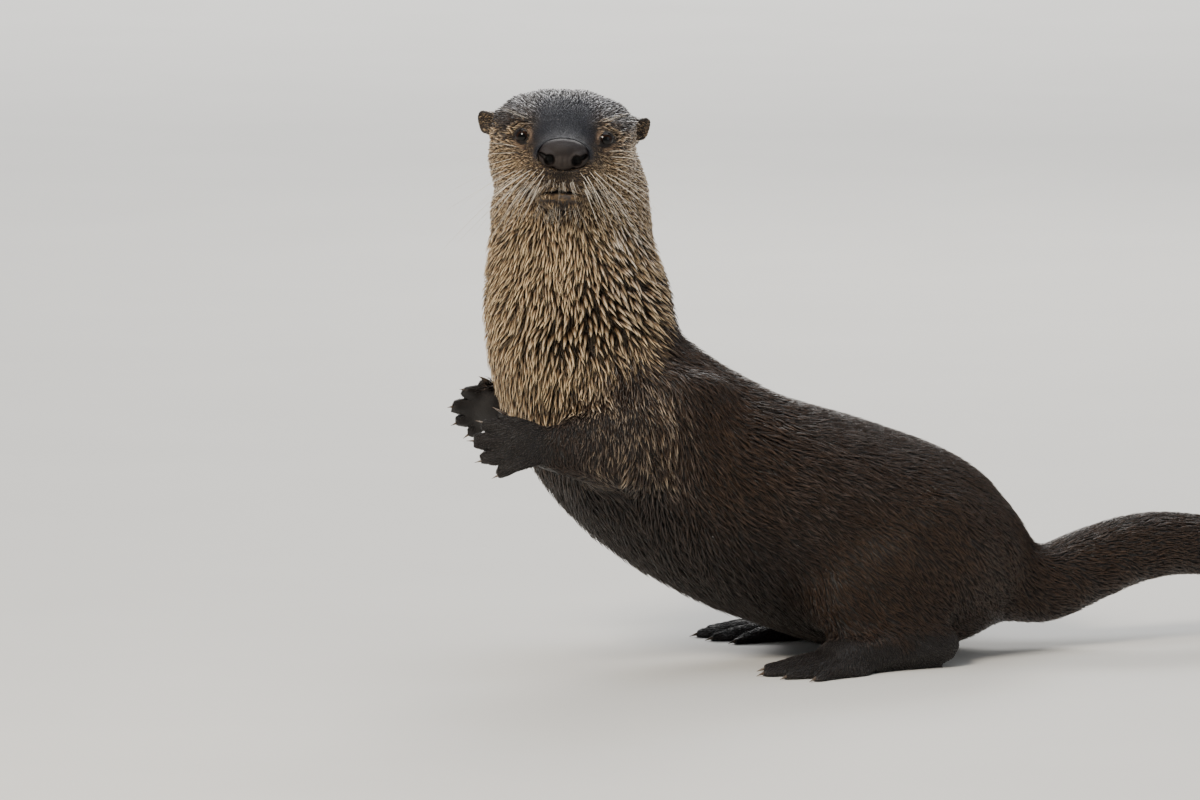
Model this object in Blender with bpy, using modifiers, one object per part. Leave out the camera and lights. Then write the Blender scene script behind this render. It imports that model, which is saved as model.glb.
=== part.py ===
"""A life-size river otter, rearing up on its haunches with its head turned to its left.

The frame is +Z up, in metres. The trunk lies along X, with the chest towards -X, and the
origin is on the floor under the hips. The body is modelled whole, from lofts along the spine
and the limbs and from a few muscle shapes, then fused, rounded and parted with thin cuts.

    blender --background --python part.py
"""

import math

import bmesh
import bpy
import numpy as np
from mathutils import Matrix, Vector
from mathutils.bvhtree import BVHTree

# ---------------------------------------------------------------- driving dimensions
GAP = 0.0003                     # clear space that each parting cut leaves
VOXEL = 0.0018                   # grain of the fused body
CORE_VOXEL = 0.0032              # grain of trunk, neck and upper limbs before they are rounded
BODY_TRIANGLES = 4300            # triangles of the whole body before it is parted
BODY_ROUNDS = 3                  # how often the fused body is smoothed
# How dear small triangles are on the tail, at the face and at the paws, and how far the last two reach.
FINE_TAIL, FINE_FACE, FINE_PAW, FINE_REACH = 0.10, 0.42, 0.30, 0.16
SPARING = 2.0                    # how strongly the dear places are spared
FLOOR_BLOCK = (2.0, 2.0, 0.2)

# Spine stations: x, y, z, half width, height above the line, height below it. The top of the neck
# leans towards the face, so that the nape runs up into the turned head.
SPINE = {
    "rump": (0.081, 0.0, 0.050, 0.026, 0.026, 0.026),
    "croup": (0.060, 0.0, 0.057, 0.055, 0.042, 0.052),
    "hips": (0.022, 0.0, 0.070, 0.072, 0.062, 0.0770),
    "loin": (-0.040, 0.0, 0.088, 0.076, 0.069, 0.083),
    "ribs": (-0.108, 0.0, 0.115, 0.077, 0.064, 0.083),
    "breast": (-0.165, 0.0, 0.149, 0.073, 0.062, 0.079),
    "withers": (-0.203, 0.0, 0.190, 0.066, 0.057, 0.069),
    "neck_root": (-0.217, 0.0, 0.234, 0.059, 0.0605, 0.0635),
    "neck": (-0.222, -0.002, 0.275, 0.055, 0.053, 0.055),
    "throat": (-0.224, -0.007, 0.312, 0.050, 0.050, 0.050),
    "nape": (-0.226, -0.011, 0.342, 0.040, 0.041, 0.042),
}
DORSAL = Vector((0.6, 0.0, 0.8))  # leans towards the back all along the spine

# Head, in its own frame: x' to the nose, y' to the left, z' up, from the middle of the ears.
HEAD_AT = Vector((-0.2297, -0.012, 0.355))
HEAD_YAW = math.radians(-103.0)
HEAD_PITCH = math.radians(0.5)
HEAD_ROLL = math.radians(-2.5)
# Skull stations: x', z', half width, height above, height below, how much wider below than above.
SKULL = {
    "occiput": (-0.044, -0.012, 0.024, 0.015, 0.018, 0.0),
    "crown_back": (-0.030, -0.005, 0.040, 0.024, 0.034, 0.0),
    "ears": (-0.006, -0.001, 0.0470, 0.024, 0.044, 0.0),
    "crown": (0.012, -0.001, 0.0470, 0.024, 0.047, 0.04),
    "brow": (0.027, -0.001, 0.0425, 0.021, 0.047, 0.10),
    "eyes": (0.040, -0.003, 0.0350, 0.0165, 0.044, 0.20),
    "bridge": (0.052, -0.006, 0.0275, 0.0125, 0.039, 0.30),
    "muzzle": (0.063, -0.009, 0.0245, 0.0115, 0.031, 0.28),
    "lip": (0.0725, -0.012, 0.0205, 0.0115, 0.026, 0.18),
    "front": (0.0765, -0.018, 0.0145, 0.0060, 0.015, 0.10),
}
# Soft shapes of the face: centre, radii and turn about z' for the left one of each pair.
FACE = {
    "whisker_pad": ((0.0585, 0.0138, -0.0245), (0.0195, 0.0155, 0.0120), math.radians(-16)),
    "brow_ridge": ((0.0345, 0.0250, 0.0070), (0.0150, 0.0095, 0.0065), math.radians(-24)),
    "cheek": ((0.0240, 0.0265, -0.0200), (0.0350, 0.0205, 0.0250), math.radians(-8)),
    "jowl": ((0.0100, 0.0260, -0.0330), (0.0330, 0.0190, 0.0200), 0.0),
    "chin": ((0.0490, 0.0080, -0.0385), (0.0205, 0.0110, 0.0105), 0.0),
    "lower_lip": ((0.0610, 0.0060, -0.0425), (0.0110, 0.0100, 0.0075), 0.0),
    "throat": ((0.0000, 0.0120, -0.0480), (0.0440, 0.0300, 0.0340), 0.0),
    "scruff": ((-0.0180, 0.0120, -0.0220), (0.0330, 0.0330, 0.0300), 0.0),
}
EYE_AT = (0.0425, 0.0250, -0.0032)  # the eyeball's centre before it is seated in its socket
EYE_RADIUS = 0.0062
EYE_PROUD = 0.0017               # how far the eyeball stands out of its socket
EYE_AHEAD = 0.05                 # where the line of sight is followed back from
EAR_AT = (-0.003, 0.0470, -0.0014)
EAR_RADII = (0.0045, 0.0082, 0.0082)
EAR_HOLLOW = 0.0034              # how far ahead the cup of the ear lies of its back
NOSE_AT = (0.0750, 0.0, -0.0096)
NOSE_FORMS = {  # centre from NOSE_AT and radii; "wing" is made on both sides
    "arch": ((0.0, 0.0, 0.0022), (0.0085, 0.0160, 0.0078)),
    "tip": ((0.0008, 0.0, -0.0050), (0.0072, 0.0100, 0.0068)),
    "wing": ((0.0000, 0.0102, -0.0015), (0.0078, 0.0072, 0.0074)),
}
NOSTRIL = ((0.0074, 0.0112, -0.0030), (0.0040, 0.0026, 0.0032))
NOSTRIL_TURN = math.radians(28)
NOSE_VOXEL = 0.0011
NOSE_TRIANGLES = 240
NOSE_ROUNDS = 4
NOSE_SEGMENTS = 24
HEAD_ROUNDS = 12                 # how often the face's forms are smoothed into each other
CORE_ROUNDS = 26
JOIN_ROUNDS = 9                  # and the head and the trunk, where they meet
EYE_GAZE = math.radians(14)      # each eye looks out to its own side by this much
EAR_TURN = math.radians(30)      # the ears face out by this much
EAR_SEGMENTS = 12
EYE_SEGMENTS = 14
EAR_CUP = 0.82                   # size of the ear's hollow against the ear
HEAD_CUT = ((0.070, 0.0, -0.0500), (-0.22, 0.0, 0.97))  # the head ends below here, in its own frame
MOUTH_Z = -0.0384                # height of the mouth's line in the head's frame
JAW_ENVELOPE = ((0.0440, 0.0, -0.0475), (0.0400, 0.0270, 0.0240))
JAW_BLOCK = (0.3, 0.3, 0.1)

# Limbs: x, y, z, half thickness up and down, half thickness across the body.
FORELEG_LEFT = {
    "shoulder": (-0.172, -0.044, 0.192, 0.050, 0.027),
    "upper_arm": (-0.176, -0.054, 0.164, 0.041, 0.027),
    "elbow": (-0.196, -0.062, 0.150, 0.034, 0.023),
    "forearm": (-0.222, -0.068, 0.149, 0.0260, 0.0185),
    "wrist": (-0.248, -0.072, 0.150, 0.0180, 0.0140),
    "palm": (-0.262, -0.073, 0.151, 0.0170, 0.0110),
}
FORELEG_RIGHT = {
    "shoulder": (-0.172, 0.044, 0.192, 0.049, 0.027),
    "upper_arm": (-0.177, 0.055, 0.166, 0.040, 0.027),
    "elbow": (-0.192, 0.063, 0.156, 0.032, 0.022),
    "forearm": (-0.214, 0.065, 0.156, 0.0245, 0.0180),
    "wrist": (-0.236, 0.062, 0.160, 0.0175, 0.0140),
    "palm": (-0.250, 0.059, 0.161, 0.0165, 0.0110),
}
HIND_LEG = {
    "hip": (0.030, -0.040, 0.080, 0.050, 0.036),
    "thigh": (-0.014, -0.054, 0.062, 0.044, 0.032),
    "knee": (-0.054, -0.064, 0.044, 0.028, 0.023),
    "shank": (-0.028, -0.071, 0.030, 0.020, 0.018),
    "hock": (0.000, -0.075, 0.020, 0.017, 0.0145),
}
TAIL = {  # x, y, z, half width, half height
    "root": (0.060, 0.000, 0.048, 0.036, 0.030),
    "base": (0.096, 0.002, 0.041, 0.031, 0.026),
    "rise": (0.130, 0.005, 0.053, 0.028, 0.025),
    "arch": (0.172, 0.010, 0.064, 0.025, 0.023),
    "fall": (0.220, 0.019, 0.060, 0.022, 0.020),
    "dip": (0.272, 0.033, 0.036, 0.019, 0.017),
    "floor": (0.325, 0.051, 0.0135, 0.016, 0.0155),
    "run": (0.375, 0.066, 0.0105, 0.013, 0.0125),
    "tip": (0.432, 0.074, 0.0070, 0.007, 0.0080),
}

TAIL_CUTS = {"tail_tip": 0.300, "tail_middle": 0.190, "tail_root": 0.092}
# Trunk and neck are parted at planes: a point and the side that is cut off, from the head back.
TRUNK_CUTS = {
    "neck": ((-0.210, 0.0, 0.222), (-0.15, 0.0, 0.99)),
    "chest": ((-0.098, 0.0, 0.110), (-0.95, 0.0, 0.32)),
    "loins": ((-0.026, 0.0, 0.080), (-0.96, 0.0, 0.26)),
}

# Forepaws: the wrist, which way the fingers point and which way the back of the hand faces.
FOREPAWS = {
    "left": ((-0.256, -0.0730, 0.1530), (-0.985, -0.06, 0.10), (-0.10, -0.93, 0.36)),
    "right": ((-0.244, 0.0600, 0.1620), (-0.960, -0.22, 0.06), (-0.12, 0.90, 0.42)),
}
# Where the middle digit is rooted: how far ahead, how much further back and across the outer ones
# are, and how high. The palm and the web are ovals; each has its middle and its radii.
FOREPAW = {
    "root": (0.01665, 0.004, 0.01054, 0.001), "spread": math.radians(30), "thick": 0.0052,
    "digits": (0.020, 0.027, 0.030, 0.028, 0.021),
    "palm": ((0.0148, 0.0, 0.0), (0.0185, 0.0170, 0.0095)),
    "web": ((0.02475, 0.0, 0.0), (0.0275, 0.0195, 0.0030)),
}
HEEL = (0.006, -0.0760, -0.0020)  # under the left heel, which the floor flattens
HIND_TURNOUT = math.radians(8)
HINDFOOT = {
    "root": (0.066, 0.006, 0.0165, 0.00589), "spread": math.radians(24), "thick": 0.0062,
    "digits": (0.040, 0.050, 0.054, 0.050, 0.042),
    "sole": (("heel", 0.004, 0.013, 0.018), ("arch", 0.034, 0.0145, 0.0165),
             ("ball", 0.062, 0.0205, 0.0130), ("toe_root", 0.078, 0.0225, 0.0100)),
    "web": ((0.0812, 0.0, 0.0044), (0.040, 0.0300, 0.0034)),
}
# A digit's shape against its length (knuckle_along) or else against its thickness.
DIGIT = {
    "knuckle_along": 0.45, "knuckle_up": 0.35, "tip_down": 0.30, "taper": (1.0, 0.95, 0.72),
    "pad": (0.85, 0.78, 0.70), "nail_past": 1.5, "nail_down": 0.35, "nail_arch": 0.12,
    "nail": (0.42, 0.34, 0.18),
}
PAD_SEGMENTS = 12
HEEL_BALL = ((0.006, -0.0760, 0.0150), (0.0170, 0.0140, 0.0160))

# Envelopes that part the limbs off the body: how far they stand off the limb itself.
ENVELOPE_SEGMENTS = 12
SIDE_BLOCK, PAW_BLOCK = 0.6, 0.2  # size of the cutters that hold one side of a plane
LIMB_CLEAR = 0.0035
LIMB_OUT = 0.009                 # and how far out they are set, to leave no sliver on the flank
LIMB_PAST = ((0.010, 0.022), (0.080, 0.040))  # past its last station: how far, and how wide for the paw
SHOULDER_ENVELOPE = ((-0.168, -0.066, 0.180), (0.047, 0.036, 0.058))
HAUNCH_ENVELOPE = ((-0.008, -0.070, 0.054), (0.084, 0.040, 0.064))
FOOT_ENVELOPE = (  # x', half width, height of the middle, half height, in the foot's own frame
    (-0.020, 0.010, 0.010, 0.012), (-0.012, 0.0185, 0.010, 0.0185), (0.040, 0.0205, 0.009, 0.0185),
    (0.075, 0.032, 0.008, 0.0170), (0.132, 0.055, 0.008, 0.0150),
)

FINISHES = {  # colour and roughness
    "pale_coat": ((0.340, 0.245, 0.160), 0.62),
    "dark_coat": ((0.070, 0.050, 0.038), 0.50),
    "paw": ((0.022, 0.018, 0.016), 0.45),
    "nose_pad": ((0.035, 0.028, 0.026), 0.42),
    "eye": ((0.018, 0.009, 0.005), 0.06),
}
FINISH_OF = {  # words in the name of each piece
    "eye": ("eye_",),
    "nose_pad": ("nose",),
    "pale_coat": ("head", "lower_jaw", "neck"),
    "paw": ("forepaw", "foot"),
    "dark_coat": ("",),
}


# ---------------------------------------------------------------- modelling tools
def clear_scene():
    for obj in list(bpy.data.objects):
        bpy.data.objects.remove(obj, do_unlink=True)


def new_object(name, mesh):
    obj = bpy.data.objects.new(name, mesh)
    bpy.context.scene.collection.objects.link(obj)
    return obj


def evaluated_copy(obj, name):
    """A plain mesh object with obj's modifiers applied; obj is removed."""
    bpy.context.view_layer.update()
    graph = bpy.context.evaluated_depsgraph_get()
    mesh = bpy.data.meshes.new_from_object(obj.evaluated_get(graph))
    mesh.transform(obj.matrix_world)
    bpy.data.objects.remove(obj, do_unlink=True)
    return new_object(name, mesh)


def smooth_rows(rows, per_gap):
    """A Catmull-Rom curve through the rows, with per_gap steps between each two."""
    rows = np.asarray(rows, float)
    padded = np.vstack([2 * rows[0] - rows[1], rows, 2 * rows[-1] - rows[-2]])
    made = []
    for i in range(1, len(padded) - 2):
        p0, p1, p2, p3 = padded[i - 1 : i + 3]
        for t in np.arange(per_gap) / per_gap:
            made.append(
                0.5 * (2 * p1 + (p2 - p0) * t + (2 * p0 - 5 * p1 + 4 * p2 - p3) * t**2
                       + (3 * p1 - p0 - 3 * p2 + p3) * t**3)
            )
    made.append(rows[-1])
    return np.array(made)


def loft(name, stations, up, sides=36, per_gap=6, squareness=2.25):
    """A closed tube through the stations: x, y, z, half width, height above, height below and,
    where the row has it, how much wider the section is below its line than above."""
    rows = smooth_rows(stations, per_gap)
    mesh = bmesh.new()
    rings = []
    for i, row in enumerate(rows):
        ahead = rows[min(i + 1, len(rows) - 1)][:3] - rows[max(i - 1, 0)][:3]
        along = Vector(ahead).normalized()
        side = along.cross(Vector(up)).normalized()
        dorsal = side.cross(along).normalized()
        half_width, above, below = np.maximum(row[3:6], 0.001)
        pear = row[6] if len(row) > 6 else 0.0
        ring = []
        for k in range(sides):
            turn = 2 * math.pi * k / sides
            across = math.copysign(abs(math.cos(turn)) ** (2 / squareness), math.cos(turn))
            over = math.copysign(abs(math.sin(turn)) ** (2 / squareness), math.sin(turn))
            width = half_width * (1 - pear * over)
            height = above if over > 0 else below
            ring.append(mesh.verts.new(Vector(row[:3]) + side * width * across + dorsal * height * over))
        rings.append(ring)
    for near, far in zip(rings, rings[1:]):
        for k in range(sides):
            mesh.faces.new((near[k], near[(k + 1) % sides], far[(k + 1) % sides], far[k]))
    mesh.faces.new(rings[0][::-1])
    mesh.faces.new(rings[-1])
    bmesh.ops.recalc_face_normals(mesh, faces=mesh.faces)
    bmesh.ops.triangulate(mesh, faces=mesh.faces, quad_method="FIXED")
    data = bpy.data.meshes.new(name)
    mesh.to_mesh(data)
    mesh.free()
    return new_object(name, data)


def ball(name, centre, radii, turn=(0.0, 0.0, 0.0), segments=32):
    bpy.ops.mesh.primitive_uv_sphere_add(segments=segments, ring_count=segments // 2, radius=1.0)
    obj = bpy.context.object
    obj.name = name
    turned = (Matrix.Rotation(turn[2], 3, "Z") @ Matrix.Rotation(turn[1], 3, "Y")
              @ Matrix.Rotation(turn[0], 3, "X"))
    obj.data.transform(Matrix.LocRotScale(Vector(centre), turned, Vector(radii)))
    return obj


def block(name, centre, size, turn=Matrix.Identity(3)):
    bpy.ops.mesh.primitive_cube_add(size=1.0)
    obj = bpy.context.object
    obj.name = name
    obj.data.transform(Matrix.LocRotScale(Vector(centre), turn, Vector(size)))
    return obj


def finger(name, points, radii):
    """A tapering rod along a smooth curve through the points."""
    rows = smooth_rows([(*p, r) for p, r in zip(points, radii)], 4)
    curve = bpy.data.curves.new(name, "CURVE")
    curve.dimensions = "3D"
    curve.bevel_depth = 1.0
    curve.bevel_resolution = 3
    curve.use_fill_caps = True
    spline = curve.splines.new("POLY")
    spline.points.add(len(rows) - 1)
    for point, row in zip(spline.points, rows):
        point.co = (*row[:3], 1.0)
        point.radius = row[3]
    obj = evaluated_copy(new_object(name, curve), name)
    mesh = bmesh.new()
    mesh.from_mesh(obj.data)
    bmesh.ops.remove_doubles(mesh, verts=mesh.verts, dist=1e-6)
    bmesh.ops.recalc_face_normals(mesh, faces=mesh.faces)
    mesh.to_mesh(obj.data)
    mesh.free()
    return obj


def joined(name, pieces):
    """One mesh object holding all the pieces, which are removed."""
    mesh = bmesh.new()
    for piece in pieces:
        mesh.from_mesh(piece.data)
        bpy.data.objects.remove(piece, do_unlink=True)
    data = bpy.data.meshes.new(name)
    mesh.to_mesh(data)
    mesh.free()
    return new_object(name, data)


def fused(name, pieces, voxel, rounds, factor=0.5):
    """The pieces as one skin: a voxel remesh takes out what lies inside, and smoothing rounds it."""
    obj = joined(name, pieces)
    remesh = obj.modifiers.new("fuse", "REMESH")
    remesh.mode = "VOXEL"
    remesh.voxel_size = voxel
    if rounds:
        smooth = obj.modifiers.new("round", "SMOOTH")
        smooth.factor = factor
        smooth.iterations = rounds
    return evaluated_copy(obj, name)


def largest_part(obj):
    """Drops the crumbs that a thin tip leaves beside the fused form."""
    mesh = bmesh.new()
    mesh.from_mesh(obj.data)
    unseen = set(mesh.verts)
    groups = []
    while unseen:
        front = [unseen.pop()]
        group = list(front)
        while front:
            near = [edge.other_vert(vert) for vert in front for edge in vert.link_edges]
            front = list({vert for vert in near if vert in unseen})
            unseen.difference_update(front)
            group += front
        groups.append(group)
    groups.sort(key=len)
    for group in groups[:-1]:
        bmesh.ops.delete(mesh, geom=group, context="VERTS")
    mesh.to_mesh(obj.data)
    mesh.free()
    return obj


def thinned(obj, triangles, spared=None):
    """The same shape with about that many triangles, most of them kept where the group spares them."""
    obj.data.calc_loop_triangles()
    thin = obj.modifiers.new("thin", "DECIMATE")
    thin.ratio = min(1.0, triangles / len(obj.data.loop_triangles))
    if spared:
        thin.vertex_group = spared
        thin.invert_vertex_group = True
        thin.vertex_group_factor = SPARING
    return evaluated_copy(obj, obj.name)


def grown(obj, by):
    """A copy whose faces stand further out by that much."""
    swell = new_object("grown", obj.data.copy()).modifiers.new("swell", "DISPLACE")
    swell.mid_level = 0.0
    swell.strength = by
    return evaluated_copy(swell.id_data, "grown")


def boolean(obj, cutter, operation):
    name = obj.name
    cut = obj.modifiers.new(operation.lower(), "BOOLEAN")
    cut.operation = operation
    cut.object = cutter
    cut.solver = "EXACT"
    return evaluated_copy(obj, name)


def midline_rows(table):
    return [(x, 0.0, z, *rest) for x, z, *rest in table.values()]


def limb_rows(table, side=1):
    return [(x, y * side, z, up, across, across) for x, y, z, up, across in table.values()]


def frame_of(at, ahead, top):
    """A matrix whose x' runs ahead and whose z' is as near to top as it can be."""
    x = Vector(ahead).normalized()
    y = Vector(top).cross(x).normalized()
    z = x.cross(y)
    return Matrix.Translation(Vector(at)) @ Matrix((x, y, z)).transposed().to_4x4()


# ---------------------------------------------------------------- head
def head_place():
    turn = (Matrix.Rotation(HEAD_YAW, 4, "Z") @ Matrix.Rotation(HEAD_PITCH, 4, "Y")
            @ Matrix.Rotation(HEAD_ROLL, 4, "X"))
    return Matrix.Translation(HEAD_AT) @ turn


def make_head():
    pieces = [loft("skull", midline_rows(SKULL), (0, 0, 1), squareness=2.15)]
    for side in (1, -1):
        for name, ((x, y, z), radii, turn) in FACE.items():
            pieces.append(ball(name, (x, y * side, z), radii, (0, 0, turn * side)))
    head = fused("head", pieces, VOXEL, HEAD_ROUNDS)
    head.data.transform(head_place())
    return head


def make_nose():
    """The bare pad at the muzzle's end, before its nostrils are cut."""
    pieces = []
    for name, (offset, radii) in NOSE_FORMS.items():
        for side in (1, -1) if offset[1] else (1,):
            at = Vector(NOSE_AT) + Vector((offset[0], offset[1] * side, offset[2]))
            pieces.append(ball(name, at, radii, segments=NOSE_SEGMENTS))
    nose = thinned(fused("nose", pieces, NOSE_VOXEL, NOSE_ROUNDS), NOSE_TRIANGLES)
    nose.data.transform(head_place())
    return nose


def make_nostril(side):
    x, y, z = Vector(NOSE_AT) + Vector(NOSTRIL[0]) * Vector((1, side, 1))
    cutter = ball("nostril", (x, y, z), NOSTRIL[1], (0, 0, NOSTRIL_TURN * side), EAR_SEGMENTS)
    cutter.data.transform(head_place())
    return cutter


def make_ear(side, grow=0.0, hollow=True):
    """A small round cup that faces ahead and a little out."""
    x, y, z = EAR_AT
    turn = (0, 0, EAR_TURN * side)
    radii = Vector(EAR_RADII) + Vector((grow, grow, grow))
    ear = ball("ear", (x, y * side, z), radii, turn, EAR_SEGMENTS)
    if hollow:
        ahead = Matrix.Rotation(EAR_TURN * side, 3, "Z") @ Vector((EAR_HOLLOW, 0, 0))
        cup = ball("cup", Vector((x, y * side, z)) + ahead, Vector(EAR_RADII) * EAR_CUP, turn, EAR_SEGMENTS)
        ear = boolean(ear, cup, "DIFFERENCE")
        bpy.data.objects.remove(cup, do_unlink=True)
    ear.data.transform(head_place())
    return ear


def make_eye(head, side):
    """An eyeball sunk along the line of sight until only EYE_PROUD of it stands out of the head."""
    gaze = Matrix.Rotation(EYE_GAZE * side, 3, "Z") @ Vector((1, 0, 0))
    x, y, z = EYE_AT
    place = head_place()
    start = place @ (Vector((x, y * side, z)) + gaze * EYE_AHEAD)
    line = (place.to_3x3() @ gaze).normalized()
    surface = BVHTree.FromObject(head, bpy.context.evaluated_depsgraph_get()).ray_cast(start, -line)[0]
    centre = surface - line * (EYE_RADIUS - EYE_PROUD)
    return ball("eye", centre, (EYE_RADIUS,) * 3, segments=EYE_SEGMENTS), centre


# ---------------------------------------------------------------- paws
def digit_pieces(name, root, angle, length, thick):
    """A digit that arches from its root to its tip, with its pad and claw."""
    ahead = Vector((math.cos(angle), math.sin(angle), 0.0))
    up = Vector((0.0, 0.0, thick))
    knuckle = root + ahead * length * DIGIT["knuckle_along"] + up * DIGIT["knuckle_up"]
    tip = root + ahead * length - up * DIGIT["tip_down"]
    nail = tip + ahead * thick * DIGIT["nail_past"] - up * DIGIT["nail_down"]
    return [
        finger(name, [root, knuckle, tip], [thick * part for part in DIGIT["taper"]]),
        ball(name + "_pad", tip, [thick * part for part in DIGIT["pad"]], (0, 0, angle), PAD_SEGMENTS),
        finger(name + "_claw", [tip, (tip + nail) / 2 + up * DIGIT["nail_arch"], nail],
               [thick * part for part in DIGIT["nail"]]),
    ]


def digits(paw):
    """The five digits of a paw, fanned out from the middle one."""
    ahead, behind, across, high = paw["root"]
    pieces = []
    for i, reach in enumerate(paw["digits"]):
        place = (i - 2) / 2
        root = Vector((ahead - behind * abs(place), across * place, high))
        pieces += digit_pieces(f"digit{i}", root, paw["spread"] * place, reach, paw["thick"])
    return pieces


def make_forepaw(side):
    """A hand in its own frame: x' to the fingers, z' to its back, y' across."""
    pieces = digits(FOREPAW) + [ball("palm", *FOREPAW["palm"]), ball("web", *FOREPAW["web"])]
    at, ahead, top = FOREPAWS[side]
    paw = joined("forepaw_" + side, pieces)
    paw.data.transform(frame_of(at, ahead, top))
    return paw


def foot_place(mirror):
    x, y, z = HEEL
    ahead = (-math.cos(HIND_TURNOUT), -math.sin(HIND_TURNOUT) * mirror, 0)
    return frame_of((x, y * mirror, z), ahead, (0, 0, 1))


def make_hindfoot(mirror):
    """A foot in its own frame: x' to the toes, z' up from the sole."""
    sole = [(x, 0.0, high, width, high, high) for _, x, width, high in HINDFOOT["sole"]]
    pieces = digits(HINDFOOT) + [loft("sole", sole, (0, 0, 1), sides=24), ball("web", *HINDFOOT["web"])]
    foot = joined("hindfoot", pieces)
    foot.data.transform(foot_place(mirror))
    return foot


# ---------------------------------------------------------------- body
def make_core():
    pieces = [
        loft("spine", list(SPINE.values()), DORSAL, sides=48),
        loft("foreleg_left", limb_rows(FORELEG_LEFT), (0, -1, 0)),
        loft("foreleg_right", limb_rows(FORELEG_RIGHT), (0, 1, 0)),
        loft("hind_left", limb_rows(HIND_LEG), (0, -1, 0)),
        loft("hind_right", limb_rows(HIND_LEG, -1), (0, 1, 0)),
        loft("tail", [(x, y, z, w, h, h) for x, y, z, w, h in TAIL.values()], (0, 0, 1), sides=28),
    ]
    for mirror in (1, -1):
        (x, y, z), radii = HEEL_BALL
        pieces.append(ball("heel", (x, y * mirror, z), radii))
    return fused("core", pieces, CORE_VOXEL, CORE_ROUNDS)


def make_body():
    """The whole otter but for its eyes, nose and ears, standing on flats at the floor."""
    pieces = [fused("core", [make_core(), make_head()], VOXEL, JOIN_ROUNDS)]
    pieces += [make_forepaw(side) for side in ("left", "right")]
    pieces += [make_hindfoot(mirror) for mirror in (1, -1)]
    whole = largest_part(fused("body", pieces, VOXEL, BODY_ROUNDS))
    fine = whole.vertex_groups.new(name="fine")
    for vertex in whole.data.vertices:
        fine.add([vertex.index], fineness(vertex.co), "REPLACE")
    whole = thinned(whole, BODY_TRIANGLES, "fine")
    floor = block("floor", (0, 0, -FLOOR_BLOCK[2] / 2), FLOOR_BLOCK)
    whole = boolean(whole, floor, "DIFFERENCE")
    bpy.data.objects.remove(floor, do_unlink=True)
    return whole


def fineness(point):
    """How dear the small triangles are there: most on the face, then on the paws."""
    to_face = (point - head_place() @ Vector((0.055, 0, -0.01))).length
    paws = [Vector(FOREPAWS[side][0]) + Vector(FOREPAWS[side][1]) * 0.03 for side in FOREPAWS]
    paws += [foot_place(mirror) @ Vector((0.085, 0, 0.01)) for mirror in (1, -1)]
    to_paw = min((point - paw).length for paw in paws)
    on_tail = FINE_TAIL if point.x > TAIL_CUTS["tail_root"] else 0.0
    return max(on_tail, FINE_FACE - to_face / FINE_REACH, FINE_PAW - to_paw / FINE_REACH)


# ---------------------------------------------------------------- parting
def copy_of(obj, name):
    return new_object(name, obj.data.copy())


def part_off(whole, name, make_cutter):
    """Takes what the cutter holds off the whole as a piece, and leaves a gap between the two."""
    cutter = make_cutter(0.0)
    piece = boolean(copy_of(whole, name), cutter, "INTERSECT")
    bpy.data.objects.remove(cutter, do_unlink=True)
    rest = cut_out(whole, make_cutter(GAP))
    return largest_part(rest), largest_part(piece)


def cut_out(whole, cutter):
    whole = boolean(whole, cutter, "DIFFERENCE")
    bpy.data.objects.remove(cutter, do_unlink=True)
    return whole


def side_of(point, normal, size=SIDE_BLOCK):
    """A maker of a cutter that holds everything on the far side of a plane."""
    at, ahead = Vector(point), Vector(normal).normalized()
    top = (0, 0, 1) if abs(ahead.z) < 0.7 else (1, 0, 0)

    def make(grow):
        turn = frame_of((0, 0, 0), ahead, top).to_3x3()
        return block("side", at + ahead * (size / 2 - grow), (size, size, size), turn)

    return make


def forearm_envelope(table, up):
    """A tube round the limb from its elbow on, which opens over the paw."""
    def make(grow):
        out = math.copysign(LIMB_OUT, table["shoulder"][1])
        rows = [(x, y + out, z, tall + LIMB_CLEAR + grow, *(LIMB_OUT + LIMB_CLEAR + wide + grow,) * 2)
                for x, y, z, tall, wide, _ in limb_rows(table)[2:]]
        first = Vector(rows[0][:3])
        back = (first - Vector(rows[1][:3])).normalized()
        rows[0] = (*(first + back * grow), *rows[0][3:])
        end = Vector(rows[-1][:3])
        ahead = (end - Vector(rows[-2][:3])).normalized()
        rows += [(*(end + ahead * past), wide + grow, wide + grow, wide + grow) for past, wide in LIMB_PAST]
        return loft("envelope", rows, up, sides=10, per_gap=1)

    return make


def foot_envelope(mirror):
    def make(grow):
        rows = [(x, 0.0, z, w + grow, h + grow, h + grow) for x, w, z, h in FOOT_ENVELOPE]
        cutter = loft("envelope", rows, (0, 0, 1), sides=12, per_gap=1, squareness=3.0)
        cutter.data.transform(foot_place(mirror))
        return cutter

    return make


def oval_envelope(oval, mirror):
    def make(grow):
        (x, y, z), radii = oval
        return ball("envelope", (x, y * mirror, z), Vector(radii) + Vector((grow, grow, grow)),
                    segments=ENVELOPE_SEGMENTS)

    return make


def jaw_envelope(grow):
    """An oval of the head's frame that holds the lower jaw, cut off at the line of the mouth."""
    centre, radii = JAW_ENVELOPE
    oval = ball("jaw", centre, Vector(radii) + Vector((grow, grow, grow)), segments=ENVELOPE_SEGMENTS)
    below = block("below", (0, 0, MOUTH_Z + grow - JAW_BLOCK[2] / 2), JAW_BLOCK)
    cutter = boolean(oval, below, "INTERSECT")
    bpy.data.objects.remove(below, do_unlink=True)
    cutter.data.transform(head_place())
    return cutter


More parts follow.
